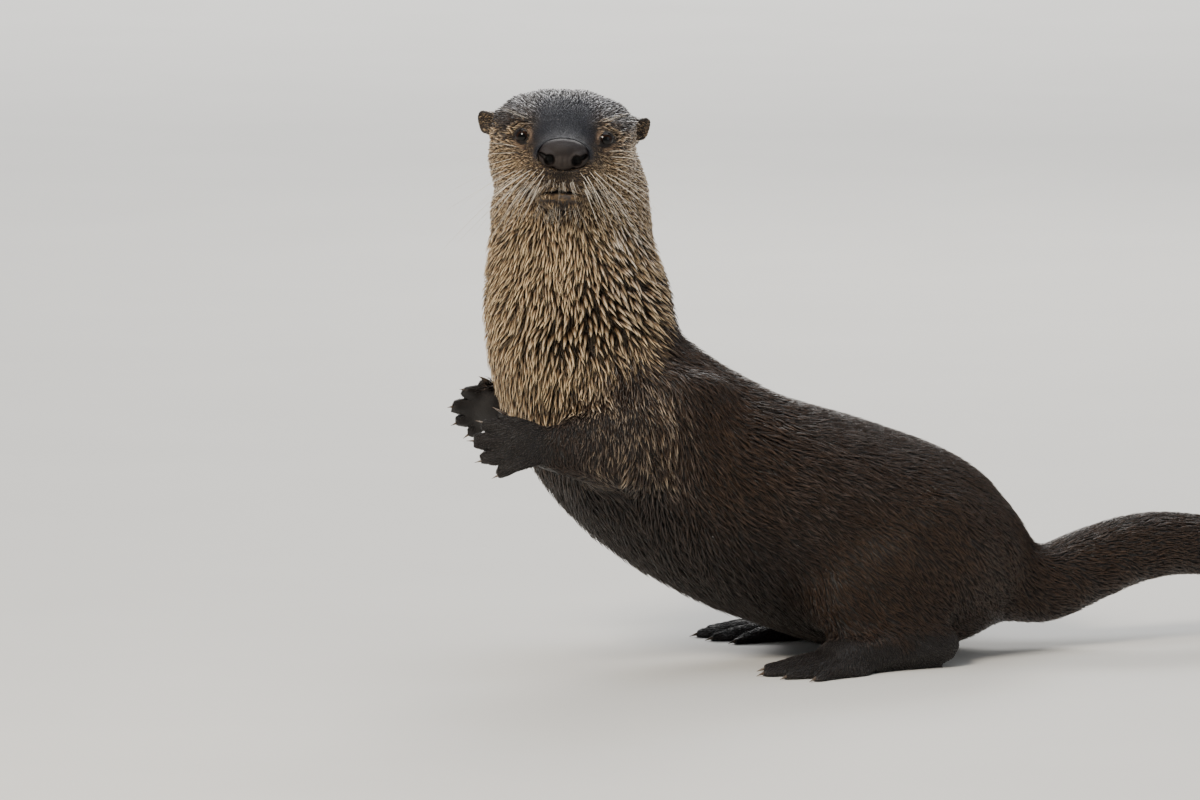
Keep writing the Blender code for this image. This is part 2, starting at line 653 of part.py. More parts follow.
def part_body(whole):
    """The body in its named pieces, each cut off the whole in turn."""
    pieces = {}
    place = head_place()
    turned = place.to_3x3()
    whole, head = part_off(whole, "head", side_of(place @ Vector(HEAD_CUT[0]), turned @ Vector(HEAD_CUT[1])))
    head, pieces["lower_jaw"] = part_off(head, "lower_jaw", jaw_envelope)

    for side, mirror in (("left", 1), ("right", -1)):
        whole, pieces[f"hindfoot_{side}"] = part_off(whole, f"hindfoot_{side}", foot_envelope(mirror))
        up = (0, -1, 0) if side == "left" else (0, 1, 0)
        whole, pieces[f"hind_leg_{side}"] = part_off(
            whole, f"hind_leg_{side}", oval_envelope(HAUNCH_ENVELOPE, mirror))
        table = FORELEG_LEFT if side == "left" else FORELEG_RIGHT
        whole, leg = part_off(whole, f"forearm_{side}", forearm_envelope(table, up))
        at, ahead, _ = FOREPAWS[side]
        pieces[f"forearm_{side}"], pieces[f"forepaw_{side}"] = part_off(
            leg, f"forepaw_{side}", side_of(at, ahead, PAW_BLOCK))
        whole, pieces[f"upper_arm_{side}"] = part_off(
            whole, f"upper_arm_{side}", oval_envelope(SHOULDER_ENVELOPE, mirror))

    for name, x in TAIL_CUTS.items():
        whole, pieces[name] = part_off(whole, name, side_of((x, 0, 0.05), (1, 0, 0)))
    for name, (point, normal) in TRUNK_CUTS.items():
        whole, pieces[name] = part_off(whole, name, side_of(point, normal))
    whole.name = "hindquarters"
    pieces["hindquarters"] = whole

    nose = make_nose()
    socket = grown(nose, GAP)
    head = largest_part(cut_out(head, socket))
    for side, mirror in (("left", 1), ("right", -1)):
        nose = cut_out(nose, make_nostril(mirror))
        head = cut_out(head, make_ear(mirror, GAP, hollow=False))
        pieces[f"ear_{side}"] = make_ear(mirror)
        pieces[f"eye_{side}"], centre = make_eye(head, mirror)
        head = cut_out(head, ball("socket", centre, (EYE_RADIUS + GAP,) * 3, segments=EYE_SEGMENTS))
    pieces["nose"] = nose
    pieces["head"] = head
    return pieces


# ---------------------------------------------------------------- finish
def finish(pieces):
    """Each piece in the otter's collection, with the colour of its coat or bare skin."""
    otter = bpy.data.collections.new("river_otter")
    bpy.context.scene.collection.children.link(otter)
    made = {}
    for name, piece in pieces.items():
        kind = next(kind for kind, words in FINISH_OF.items() if any(word in name for word in words))
        if kind not in made:
            colour, roughness = FINISHES[kind]
            material = bpy.data.materials.new(kind)
            material.use_nodes = True
            shader = material.node_tree.nodes["Principled BSDF"]
            shader.inputs["Base Color"].default_value = (*colour, 1.0)
            shader.inputs["Roughness"].default_value = roughness
            shader.inputs["Metallic"].default_value = 0.0
            made[kind] = material
        piece.name = name
        piece.data.name = name
        piece.vertex_groups.clear()
        piece.data.materials.clear()
        piece.data.materials.append(made[kind])
        if kind in ("eye", "nose_pad"):
            piece.data.shade_smooth()
        for holder in list(piece.users_collection):
            holder.objects.unlink(piece)
        otter.objects.link(piece)


clear_scene()
finish(part_body(make_body()))
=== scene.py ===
import heapq
import math

import bmesh
import bpy
import numpy as np
from mathutils import Matrix, Vector
from mathutils.bvhtree import BVHTree
from mathutils.kdtree import KDTree


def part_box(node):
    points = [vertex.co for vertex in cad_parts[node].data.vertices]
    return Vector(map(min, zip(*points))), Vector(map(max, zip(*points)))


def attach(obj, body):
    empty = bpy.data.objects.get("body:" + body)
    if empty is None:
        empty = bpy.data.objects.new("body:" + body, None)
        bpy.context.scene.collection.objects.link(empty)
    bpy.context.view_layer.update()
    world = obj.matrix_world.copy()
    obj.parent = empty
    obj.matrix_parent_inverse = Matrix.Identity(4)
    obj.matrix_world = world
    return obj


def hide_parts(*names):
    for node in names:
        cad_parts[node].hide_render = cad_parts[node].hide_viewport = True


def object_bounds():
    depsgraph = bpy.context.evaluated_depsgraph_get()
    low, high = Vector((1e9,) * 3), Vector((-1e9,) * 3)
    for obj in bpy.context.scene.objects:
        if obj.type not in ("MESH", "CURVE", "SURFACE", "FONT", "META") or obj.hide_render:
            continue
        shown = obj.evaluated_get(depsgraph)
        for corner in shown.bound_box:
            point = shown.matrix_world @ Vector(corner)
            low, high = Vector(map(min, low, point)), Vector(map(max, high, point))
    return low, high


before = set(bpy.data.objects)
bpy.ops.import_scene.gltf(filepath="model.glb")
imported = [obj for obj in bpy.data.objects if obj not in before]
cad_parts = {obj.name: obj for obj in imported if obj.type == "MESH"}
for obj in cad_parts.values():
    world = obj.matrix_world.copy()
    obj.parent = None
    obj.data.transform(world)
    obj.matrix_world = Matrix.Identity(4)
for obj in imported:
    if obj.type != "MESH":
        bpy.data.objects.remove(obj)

cad_low, cad_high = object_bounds()
MM = 0.001


# ---------------------------------------------------------------- the stage
# The model stands on a plain pale floor, under large soft lamps: a broad key from ahead and above,
# a weaker fill, and one from behind that picks out the coat's edge. The camera is a long lens from afar.
CAMERA_TURN, CAMERA_RISE = math.radians(-13), math.radians(7)
CAMERA_AWAY = 8.0
PICTURE_WIDTH = 0.792
AIM_RIGHT, AIM_UP = -0.198, 0.16566
SENSOR = 36.0
ROOM_LIGHT = 0.42
FLOOR_HALF = 20.0


class Finish:
    """A material, and the one method that adds nodes to it."""

    def __init__(self, name):
        self.material = bpy.data.materials.new(name)
        self.material.use_nodes = True
        self.tree = self.material.node_tree
        self.tree.nodes.clear()

    def node(self, kind, settings=None, output=0, **sockets):
        """Adds a node: its settings first, then its sockets, and gives one of its outputs."""
        made = self.tree.nodes.new("ShaderNode" + kind)
        for key, value in (settings or {}).items():
            setattr(made, key, value)
        for key, value in sockets.items():
            place = int(key[1:]) if key[1:].isdigit() else key.replace("_", " ")
            socket = made.inputs[place]
            if isinstance(value, Socket):
                self.tree.links.new(value.socket, socket)
            elif socket.type == "RGBA":
                socket.default_value = (*value, 1.0)
            else:
                socket.default_value = value
        return Socket(self, made.outputs[output])

    def mixed(self, factor, first, second):
        """Two colours mixed by a factor."""
        return self.node("Mix", {"data_type": "RGBA"}, 2, _0=factor, _6=first, _7=second)

    def mark(self, name):
        """A value that the mesh carries at its points."""
        return self.node("Attribute", {"attribute_name": name}, 2)

    def between(self, value, low, high):
        """0 under low, 1 over high, and a smooth rise between them."""
        return self.node("MapRange", {"interpolation_type": "SMOOTHSTEP"}, _0=value, _1=low, _2=high)

    def done(self, **sockets):
        """The finished material, a shader with those sockets."""
        shader = self.node("BsdfPrincipled", **sockets)
        out = self.tree.nodes.new("ShaderNodeOutputMaterial")
        self.tree.links.new(shader.socket, out.inputs["Surface"])
        return self.material


class Socket:
    """An output of a node. An expression on it adds the Math nodes that work it out."""

    def __init__(self, finish, socket):
        self.finish, self.socket = finish, socket

    def sum(self, operation, first, second):
        return self.finish.node("Math", {"operation": operation}, _0=first, _1=second)

    def __add__(self, other):
        return self.sum("ADD", self, other)

    def __radd__(self, other):
        return self.sum("ADD", other, self)

    def __sub__(self, other):
        return self.sum("SUBTRACT", self, other)

    def __rsub__(self, other):
        return self.sum("SUBTRACT", other, self)

    def __mul__(self, other):
        return self.sum("MULTIPLY", self, other)

    def __rmul__(self, other):
        return self.sum("MULTIPLY", other, self)

    def __pow__(self, other):
        return self.sum("POWER", self, other)


def tone(red, green, blue):
    """A colour as the eye reads it, 0 to 255, made linear."""
    return tuple((value / 255) ** 2.2 for value in (red, green, blue))


def placed(name, form, material=None):
    """A mesh, a lamp or a camera put into the scene, under its own name."""
    made = bpy.data.objects.new(name, form)
    bpy.context.scene.collection.objects.link(made)
    if material:
        form.materials.append(material)
    return made


def lamp(name, place, aim, size, power, colour):
    """A round soft lamp, turned to what it is aimed at."""
    light = bpy.data.lights.new(name, "AREA")
    light.shape, light.size, light.energy, light.color = "DISK", size, power, colour
    made = placed(name, light)
    made.location = place
    made.rotation_euler = (Vector(aim) - Vector(place)).to_track_quat("-Z", "Y").to_euler()


middle = (cad_low + cad_high) / 2
level = math.cos(CAMERA_RISE)
back = Vector((math.sin(CAMERA_TURN) * level, -math.cos(CAMERA_TURN) * level, math.sin(CAMERA_RISE)))
right = Vector((math.cos(CAMERA_TURN), math.sin(CAMERA_TURN), 0))
up = back.cross(right)
lens = bpy.data.cameras.new("camera")
lens.sensor_width = SENSOR
lens.lens = SENSOR * CAMERA_AWAY / PICTURE_WIDTH
lens.clip_end = 100
camera = placed("camera", lens)
camera.matrix_world = (Matrix.Translation(right * AIM_RIGHT + up * AIM_UP + back * CAMERA_AWAY)
                       @ Matrix((right, up, back)).transposed().to_4x4())
bpy.context.scene.camera = camera

lamp("key", (-1.8, -1.7, 2.1), middle, 1.0, 100, (1.0, 0.92, 0.80))
lamp("fill", (1.9, -2.2, 1.3), middle, 2.2, 12, (0.90, 0.95, 1.0))
lamp("sky", (0.1, 0.3, 2.6), middle, 2.4, 32, (0.93, 0.96, 1.0))
lamp("rim", (0.9, 2.3, 1.6), middle, 1.6, 26, (1.0, 0.97, 0.92))
lamp("backdrop", (1.0, 5.2, 3.4), (1.0, 5.6, 0), 3.4, 250, (1.0, 1.0, 1.0))
world = bpy.data.worlds.new("room")
bpy.context.scene.world = world
world.use_nodes = True
room = world.node_tree.nodes["Background"].inputs
room["Color"].default_value = (*tone(226, 228, 230), 1)
room["Strength"].default_value = ROOM_LIGHT

paint = Finish("floor_paint")
speckle = paint.node("TexNoise", Scale=220.0, Detail=3.0)
floor_mesh = bpy.data.meshes.new("floor")
floor_corners = [(x * FLOOR_HALF, y * FLOOR_HALF, 0) for x, y in ((-1, -1), (1, -1), (1, 1), (-1, 1))]
floor_mesh.from_pydata(floor_corners, [], [(0, 1, 2, 3)])
floor = placed("floor", floor_mesh, paint.done(
    Base_Color=paint.mixed(speckle, tone(214, 212, 207), tone(222, 220, 215)), Roughness=0.75))


# ---------------------------------------------------------------- the skin
# The hide is drawn over the whole flesh in one piece, from the lips to the tail's tip, and lies as far
# inside the model's outline as the coat is deep there. It is smoothed where the animal is sleek, and
# keeps its modelling at the face, the ears and the feet.
SEPARATE = ("eye_left", "eye_right", "nose")
WEAVE, SWELL = 1.4 * MM, 0.6 * MM
SKIN_TRIANGLES = 180_000
PASSES, EASE = 110, 0.9
BLEND_ROUNDS, NORMAL_ROUNDS = 14, 3
FLOOR_NEAR, FLOOR_SKIN = 1.2 * MM, 0.3 * MM    # what is this near the floor rests on it, and how high it lies
FINE_PARTS, FINE_LEVELS = ("head", "lower_jaw", "ear", "forepaw", "hindfoot"), 10
BACK_OF_HEAD = 0.35                            # how much of the face's fineness the back of the head has
# For each part: depth of the coat in mm, and how far the modelling is evened out.
HIDE = {
    "head": (1.5, 0.16), "lower_jaw": (1.6, 0.20), "ear": (0.5, 0.02), "neck": (3.4, 1.0),
    "chest": (2.4, 1.0), "upper_arm": (2.0, 0.9), "forearm": (1.2, 0.5), "forepaw": (0.6, 0.05),
    "loins": (2.2, 1.0), "hindquarters": (2.2, 1.0), "hind_leg": (2.0, 1.0), "hindfoot": (0.7, 0.06),
    "tail": (1.8, 0.8),
}
PARTS = list(HIDE)
# The head's own frame: x to the nose, y to its left, z to the crown.
HEAD = (Matrix.Translation((-0.2297, -0.012, 0.355)) @ Matrix.Rotation(math.radians(-103), 4, "Z")
        @ Matrix.Rotation(math.radians(0.5), 4, "Y") @ Matrix.Rotation(math.radians(-2.5), 4, "X"))
HEAD_BACK, HEAD_TURN = HEAD.inverted(), HEAD.to_3x3()
FLESH = {name: node for name, node in sorted(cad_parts.items()) if name not in SEPARATE}


def ramp(low, high, values):
    """0 at low, 1 at high, and a smooth rise between them."""
    t = np.clip((values - low) / (high - low), 0, 1)
    return t * t * (3 - 2 * t)


def in_frame(matrix, points):
    """Points given in another frame."""
    m = np.array(matrix)
    return points @ m[:3, :3].T + m[:3, 3]


def numbers(items, key, width=3):
    """One property of all the items of a mesh, a row each."""
    values = np.empty(len(items) * width, np.int32 if key == "vertices" else np.float32)
    items.foreach_get(key, values)
    return values.reshape(-1, width) if width > 1 else values


def unit(vectors):
    """The vectors at a length of 1."""
    return vectors / np.maximum(np.linalg.norm(vectors, axis=-1, keepdims=True), 1e-9)


def averager(edges, count):
    """A function that gives each point the mean of its neighbours' values."""
    a, b = edges.T
    degree = np.maximum(np.bincount(edges.ravel(), minlength=count), 1)

    def mean(values):
        sums = [np.bincount(a, column[b], count) + np.bincount(b, column[a], count) for column in values.T]
        return np.stack(sums, 1) / degree[:, None]
    return mean


def eased(values, mean, amount, rounds):
    """The values drawn towards their neighbours', round after round."""
    for _ in range(rounds):
        values = values + (mean(values) - values) * amount
    return values


def evaluated(piece):
    """The piece's mesh with its modifiers worked in. The piece itself goes."""
    graph = bpy.context.evaluated_depsgraph_get()
    mesh = bpy.data.meshes.new_from_object(piece.evaluated_get(graph))
    bpy.data.objects.remove(piece)
    return mesh


def woven(piece, size):
    """The piece drawn anew as one closed surface of even faces."""
    weave = piece.modifiers.new("weave", "REMESH")
    weave.mode, weave.voxel_size = "VOXEL", size
    return evaluated(piece)


def tree_of(spots):
    """A tree of places, to look up the near ones in."""
    tree = KDTree(len(spots))
    for i, spot in enumerate(spots):
        tree.insert(spot, i)
    tree.balance()
    return tree


def merged_flesh():
    """All the flesh as one closed mesh."""
    points, faces, start = [], [], 0
    for node in FLESH.values():
        own = numbers(node.data.vertices, "co")
        rounded, index = np.unique(np.round(own, 6), axis=0, return_inverse=True)
        node.data.calc_loop_triangles()
        corners = numbers(node.data.loop_triangles, "vertices")
        faces.append(index.ravel()[corners] + start)
        points.append(rounded)
        start += len(rounded)
    mesh = bpy.data.meshes.new("flesh")
    mesh.from_pydata(np.concatenate(points).tolist(), [], np.concatenate(faces).tolist())
    piece = placed("flesh", mesh)
    swell = piece.modifiers.new("swell", "DISPLACE")
    swell.mid_level, swell.strength = 0.0, SWELL
    return woven(piece, WEAVE)


def part_weights(points, mean):
    """How much each point belongs to each of the parts, blended across their borders."""
    owners, spots = [], []
    for name, node in FLESH.items():
        own = numbers(node.data.vertices, "co")
        spots.append(own)
        owners += [next(i for i, part in enumerate(PARTS) if name.startswith(part))] * len(own)
    tree = tree_of(np.concatenate(spots))
    weights = np.zeros((len(points), len(PARTS)))
    nearest = [owners[tree.find(point)[1]] for point in points]
    weights[np.arange(len(points)), nearest] = 1
    for _ in range(BLEND_ROUNDS):
        weights = mean(weights)
    return weights


whole = merged_flesh()
points = numbers(whole.vertices, "co").astype(float)
mean = averager(numbers(whole.edges, "vertices", 2), len(points))
weights = part_weights(points, mean)
depth, evenness = (weights @ np.array(list(HIDE.values()))).T
on_floor = points[:, 2] < FLOOR_NEAR
pull = (evenness * EASE)[:, None]
smooth = eased(points, mean, pull, PASSES)
whole.vertices.foreach_set("co", smooth.ravel())
whole.update()
normals = numbers(whole.vertex_normals, "vector").astype(float)
for _ in range(NORMAL_ROUNDS):
    normals = unit(mean(normals))
lost = eased(((points - smooth) * normals).sum(1)[:, None], mean, pull, PASSES)
points = smooth + normals * (lost - (depth * MM + SWELL)[:, None])
points[on_floor, 2] = FLOOR_SKIN
whole.vertices.foreach_set("co", points.ravel())

hide = placed("hide", whole)
fine = hide.vertex_groups.new(name="fine")
sparing = weights[:, [PARTS.index(part) for part in FINE_PARTS]].sum(1)
to_face = ramp(-10 * MM, 20 * MM, in_frame(HEAD_BACK, points)[:, 0])
sparing *= BACK_OF_HEAD + (1 - BACK_OF_HEAD) * np.where(weights[:, PARTS.index("head")] > 0.5, to_face, 1)
for step in range(1, FINE_LEVELS + 1):
    chosen = np.flatnonzero(np.round(sparing * FINE_LEVELS) == step)
    fine.add(chosen.tolist(), step / FINE_LEVELS, "REPLACE")
thin = hide.modifiers.new("thin", "DECIMATE")
thin.ratio = SKIN_TRIANGLES / (2 * len(whole.polygons))
thin.vertex_group, thin.invert_vertex_group, thin.vertex_group_factor = "fine", True, 2.0
skin_mesh = evaluated(hide)
skin_mesh.name = "skin"
skin = placed("skin", skin_mesh)


# ---------------------------------------------------------------- the face
# The skin is drawn in round each eye as two lids, and parted at the mouth over a full lower lip. Here it
# is worked finer than elsewhere, as a sculptor would.
EYES = {"left": 1, "right": -1}
EYE_GAZE = math.radians(14)
EYE_RADIUS = 6.2 * MM
LID_WIDE, LID_TALL, LID_POINT = 4.2 * MM, 3.9 * MM, 2.0
LID_THICK, LID_SUNK = 0.85 * MM, 0.15 * MM
SOCKET, LID_REACH = 7.2 * MM, 12.0 * MM
# The mouth's line in the head's frame, half the width and height of the opening, and where its corners end.
MOUTH_LINE, MOUTH_WIDE, MOUTH_OPEN, MOUTH_CORNER = -36.0 * MM, 13.5 * MM, 1.3 * MM, 22.0 * MM
MOUTH_BOW = 8.0                                 # how much the line drops towards its corners, per metre
LIP_DROP, LIP_TALL, LIP_WIDE, LIP_FULL = 3.2 * MM, 2.1 * MM, 19.0 * MM, 1.0 * MM
LIP_UNEVEN, LIP_WAVE = 0.28, 3.6 * MM
MOUTH_DEEP, CREASE_DEEP = 4.5 * MM, 0.9 * MM
EAR_CORNER, EAR_OUT, EAR_CUP = 3.8 * MM, 1.2 * MM, 2.2 * MM
EAR_WIDE = 5.6 * MM
CHEEK_FULL = 2.2 * MM
NOSE_SEAT, SEAT_WIDE = 3.7 * MM, 1.42         # how far the muzzle rises to the nose, and how far round it
# The paws: where the wrist or heel is, which way the digits point, and which way the back of the paw faces.
TURNOUT = math.radians(8)
PAWS = {
    "forepaw_left": ((-256, -73, 153), (-0.985, -0.06, 0.10), (-0.10, -0.93, 0.36)),
    "forepaw_right": ((-244, 60, 162), (-0.960, -0.22, 0.06), (-0.12, 0.90, 0.42)),
    "hindfoot_left": ((6, -76, -2), (-math.cos(TURNOUT), -math.sin(TURNOUT), 0), (0, 0, 1)),
    "hindfoot_right": ((6, 76, -2), (-math.cos(TURNOUT), math.sin(TURNOUT), 0), (0, 0, 1)),
}
# The digits of each kind: how far ahead the middle one is rooted and the outer ones behind it, how far apart,
# how high, and how thick, all in mm; how they spread in degrees; and their lengths.
DIGITS = {
    "forepaw": (16.7, 4.0, 10.5, 1.0, 5.2, 30, (20, 27, 30, 28, 21)),
    "hindfoot": (66.0, 6.0, 16.5, 5.9, 6.2, 24, (40, 50, 54, 50, 42)),
}


def eye_frame(side):
    """The eye's own frame: z along its gaze, y up, x across."""
    low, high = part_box("eye_" + side)
    gaze = (HEAD_TURN @ (Matrix.Rotation(EYE_GAZE * EYES[side], 3, "Z") @ Vector((1, 0, 0)))).normalized()
    across = (HEAD_TURN @ Vector((0, 0, 1))).cross(gaze).normalized()
    turned = Matrix((across, gaze.cross(across), gaze)).transposed().to_4x4()
    return Matrix.Translation((low + high) / 2) @ turned


def glow(places, spot, radii):
    """1 at a spot, falling away from it smoothly on all sides."""
    return np.exp(-(((places - spot) / radii) ** 2).sum(1))


def refine(mesh, centres):
    """Splits the faces within reach of the centres, and eases the new points in."""
    def within():
        return [v for v in shape.verts if any((v.co - centre).length < reach for centre, reach in centres)]
    shape = bmesh.new()
    shape.from_mesh(mesh)
    edges = {edge for v in within() for edge in v.link_edges}
    bmesh.ops.subdivide_edges(shape, edges=list(edges), cuts=1, use_grid_fill=True)
    bmesh.ops.triangulate(shape, faces=[face for face in shape.faces if len(face.verts) > 3])
    bmesh.ops.smooth_vert(shape, verts=within(), factor=0.5,
                          use_axis_x=True, use_axis_y=True, use_axis_z=True)
    shape.to_mesh(mesh)
    shape.free()


def opening(turn):
    """How far from the gaze the lids' edge is, in each direction round it."""
    wide, tall = np.abs(np.cos(turn)) / LID_WIDE, np.abs(np.sin(turn)) / LID_TALL
    return (wide ** LID_POINT + tall ** LID_POINT) ** (-1 / LID_POINT)


def paw_frame(name):
    """The paw's own frame, from its table: x to the digits, z to its back."""
    at, ahead, top = (Vector(row) for row in PAWS[name])
    x = ahead.normalized()
    y = top.cross(x).normalized()
    return Matrix.Translation(at * MM) @ Matrix((x, y, x.cross(y))).transposed().to_4x4()


def digits_of(name):
    """Each digit of a paw in its frame: its root, its direction, its length and its thickness."""
    ahead, behind, apart, up, thick, spread, reaches = DIGITS[name.split("_")[0]]
    rows = []
    for i, reach in enumerate(reaches):
        place = (i - 2) / 2
        turn = math.radians(spread) * place
        root = Vector((ahead - behind * abs(place), apart * place, up)) * MM
        rows.append((root, Vector((math.cos(turn), math.sin(turn), 0)), reach * MM, thick * MM))
    return rows


eye_frames = {side: eye_frame(side) for side in EYES}
eye_middles = [frame_here.translation for frame_here in eye_frames.values()]
mouth_middle = HEAD @ Vector((60 * MM, 0, MOUTH_LINE))
for lid_reach, mouth_reach in ((LID_REACH + 1 * MM, MOUTH_CORNER), (LID_REACH - 1 * MM, MOUTH_WIDE * 1.3)):
    refine(skin_mesh, [(eye, lid_reach) for eye in eye_middles] + [(mouth_middle, mouth_reach)])
points = numbers(skin_mesh.vertices, "co").astype(float)
lid_gap = np.ones(len(points))                # how far a point is from the edge of the lids
for side, place in eye_frames.items():
    own = in_frame(place.inverted(), points)
    radial, away = np.hypot(own[:, 0], own[:, 1]), np.linalg.norm(own, axis=1)
    turn = np.arctan2(own[:, 1], own[:, 0])
    edge = opening(turn)
    skin_here = away < LID_REACH + 2 * MM
    wall = skin_here & (away < EYE_RADIUS + 2.0 * MM)
    wall &= (radial < SOCKET - 0.4 * MM) | (own[:, 2] < 2.2 * MM)
    lid = skin_here & ~wall & (radial < LID_REACH) & (own[:, 2] > 0)
    # The socket's wall goes in behind the edge of the lids, inside the ball.
    dip = np.clip(radial / SOCKET, 0, 1) ** 2 * 0.9 + 0.02
    inner = edge * dip
    depth_in = np.sqrt(np.maximum((EYE_RADIUS - 0.5 * MM) ** 2 - inner ** 2, 0))
    own[wall, 0], own[wall, 1] = (inner * np.cos(turn))[wall], (inner * np.sin(turn))[wall]
    own[wall, 2] = depth_in[wall]
    # The lids reach in over the ball from the skin round it.
    t = np.clip((radial - SOCKET) / (LID_REACH - SOCKET), 0, 1)
    drawn = edge + (LID_REACH - edge) * t ** 1.15
    over_ball = np.minimum(drawn, EYE_RADIUS)
    on_ball = np.sqrt(np.maximum((EYE_RADIUS + LID_THICK) ** 2 - over_ball ** 2, 0)) - LID_SUNK
    blend = ramp(0.0, 0.72, t)
    own[lid, 0], own[lid, 1] = (drawn * np.cos(turn))[lid], (drawn * np.sin(turn))[lid]
    own[lid, 2] = (on_ball * (1 - blend) + own[:, 2] * blend)[lid]
    points = in_frame(place, own)
    lid_gap = np.minimum(lid_gap, np.where(lid, drawn - edge, np.where(wall, -1 * MM, 1)))
head = in_frame(HEAD_BACK, points)
aside = np.abs(head[:, 1])
line = MOUTH_LINE - MOUTH_BOW * aside ** 2
front = ramp(30 * MM, 42 * MM, head[:, 0])
gape = MOUTH_OPEN * np.sqrt(np.clip(1 - (aside / MOUTH_WIDE) ** 2, 0, 1))
below = head[:, 2] - line
inside_mouth = front * (1 - ramp(0.55, 1.25, np.abs(below) / np.maximum(gape, 0.4 * MM)))
inside_mouth *= aside < MOUTH_WIDE
crease = front * np.exp(-(below / (0.8 * MM)) ** 2) * ramp(MOUTH_CORNER, MOUTH_WIDE, aside)
lip_tall = LIP_TALL * (1 + LIP_UNEVEN * np.sin(head[:, 1] / LIP_WAVE + 1.0))
lip = front * np.exp(-((below + LIP_DROP) / lip_tall) ** 2) * ramp(LIP_WIDE, LIP_WIDE * 0.6, aside)
head[:, 0] += lip * LIP_FULL - inside_mouth * MOUTH_DEEP - crease * CREASE_DEEP * (1 - inside_mouth)
# The muzzle rises to the rim of the nose, all round it.
nose_own = in_frame(HEAD_BACK, numbers(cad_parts["nose"].data.vertices, "co"))
nose_centre = (nose_own.min(0) + nose_own.max(0)) / 2
nose_half = (nose_own.max(0) - nose_own.min(0)) / 2
from_nose = np.linalg.norm((head - nose_centre) / nose_half, axis=1)
head[:, 0] += NOSE_SEAT * ramp(SEAT_WIDE, 1.0, from_nose)
# The right cheek is the fuller of the two.
head[:, 1] -= CHEEK_FULL * glow(head, np.array((8, -46, -20)) * MM, np.array((26, 22, 21)) * MM)
# Each ear is a shallow cup, drawn out to a blunt corner above.
ear_dark = np.zeros(len(points))
for side, mirror in EYES.items():
    ear_own = in_frame(HEAD_BACK, numbers(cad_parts["ear_" + side].data.vertices, "co"))
    from_ear = (head - (ear_own.min(0) + ear_own.max(0)) / 2) * (1, mirror, 1)
    close = ramp(13 * MM, 9 * MM, np.linalg.norm(from_ear, axis=1)) * ramp(-1 * MM, 3 * MM, from_ear[:, 1])
    corner = ramp(3 * MM, 9 * MM, from_ear @ (0, 0.72, 0.69)) * close
    cup = ramp(EAR_WIDE, 0.0, np.hypot(from_ear[:, 1] - 2 * MM, from_ear[:, 2])) * close
    cup *= ramp(-1 * MM, 1 * MM, from_ear[:, 0])
    head[:, 1] += mirror * (EAR_CORNER * 0.72 * corner + EAR_OUT * close)
    head[:, 2] += EAR_CORNER * 0.69 * corner
    head[:, 0] -= EAR_CUP * cup
    ear_dark = np.maximum(ear_dark, cup)
points = in_frame(HEAD, head)
# The paws: thin webs between the digits, drawn back from their ends, and room for a claw at each tip.
sole = np.zeros(len(points))
for name in PAWS:
    place = paw_frame(name)
    own = in_frame(place.inverted(), points)
    nearest = np.full(len(points), math.inf)
    shift = np.zeros_like(own)
    for root, way, reach, thick in digits_of(name):
        along = (own - np.array(root)) @ np.array(way)
        off = own - np.array(root) - along[:, None] * np.array(way)
        gap = np.hypot(off[:, 1], off[:, 0])
        past = np.maximum(along - reach - 0.35 * thick, 0) * 0.85
        web = ramp(0.75 * thick, 1.5 * thick, gap) * ramp(0.40 * reach, 0.75 * reach, along)
        back = np.minimum(past + web * (along - 0.40 * reach) * 0.6, along)
        here = (gap < np.minimum(nearest, 2 * thick)) & (along > 0) & (along < reach + 3 * thick)
        here &= np.abs(own[:, 2]) < 3 * thick
        shift[here] = (np.array(way) * -back[:, None])[here]
        nearest = np.where(here, gap, nearest)
    own += shift
    if name.startswith("forepaw"):
        on_palm = np.linalg.norm(own - (20 * MM, 0, 0), axis=1) < 32 * MM
        sole = np.maximum(sole, on_palm * ramp(-0.5 * MM, -3 * MM, own[:, 2]))
    points = in_frame(place, own)
skin_mesh.vertices.foreach_set("co", points.ravel())
skin_mesh.update()
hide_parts(*[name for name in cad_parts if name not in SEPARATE])
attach(skin, "root")
skin_mesh.shade_smooth()


# ---------------------------------------------------------------- the lie of the coat and its markings
# Hair grows away from the nose: back over the crown, down the throat, along the trunk to the tail's tip
# and down each leg to its toes, and it hangs a little where it is long. The throat, cheeks and muzzle
# are buff, the back and flanks umber, the brow slate, and the lower limbs and feet nearly black.
# The marks also paint light: shade under the belly, under the chin and in the mouth, and wet highlights on
# the crown, shoulder, loins and throat.
LIE_ROUNDS, FINER_ROUNDS = 24, 6
# How much the hair hangs, and how much it is swept back, by part.
HANG = {"neck": 0.5, "chest": 0.25, "upper_arm": 0.45, "loins": 0.12, "hindquarters": 0.10, "hind_leg": 0.25,
        "head": 0.25, "lower_jaw": 0.5}
SWEPT = {"chest": 0.9, "upper_arm": 0.25, "loins": 1.3, "hindquarters": 0.9, "hind_leg": 0.35, "tail": 0.6}

points = numbers(skin_mesh.vertices, "co").astype(float)
edges = numbers(skin_mesh.edges, "vertices", 2)
skin_mesh.calc_loop_triangles()
triangles = numbers(skin_mesh.loop_triangles, "vertices")
normals = numbers(skin_mesh.vertex_normals, "vector").astype(float)
mean = averager(edges, len(points))
weights = part_weights(points, mean)
share = {part: weights[:, i] for i, part in enumerate(PARTS)}
head = in_frame(HEAD_BACK, points)


def reach_from(start):
    """The way along the skin from one point to each of the others."""
    spans = np.linalg.norm(points[edges[:, 0]] - points[edges[:, 1]], axis=1).tolist()
    near = [[] for _ in points]
    for (a, b), span in zip(edges.tolist(), spans):
        near[a].append((b, span))
        near[b].append((a, span))
    reach = [math.inf] * len(near)
    reach[start] = 0.0
    queue = [(0.0, start)]
    while queue:
        so_far, here = heapq.heappop(queue)
        if so_far > reach[here]:
            continue
        for there, span in near[here]:
            if so_far + span < reach[there]:
                reach[there] = so_far + span
                heapq.heappush(queue, (so_far + span, there))
    return np.array(reach)


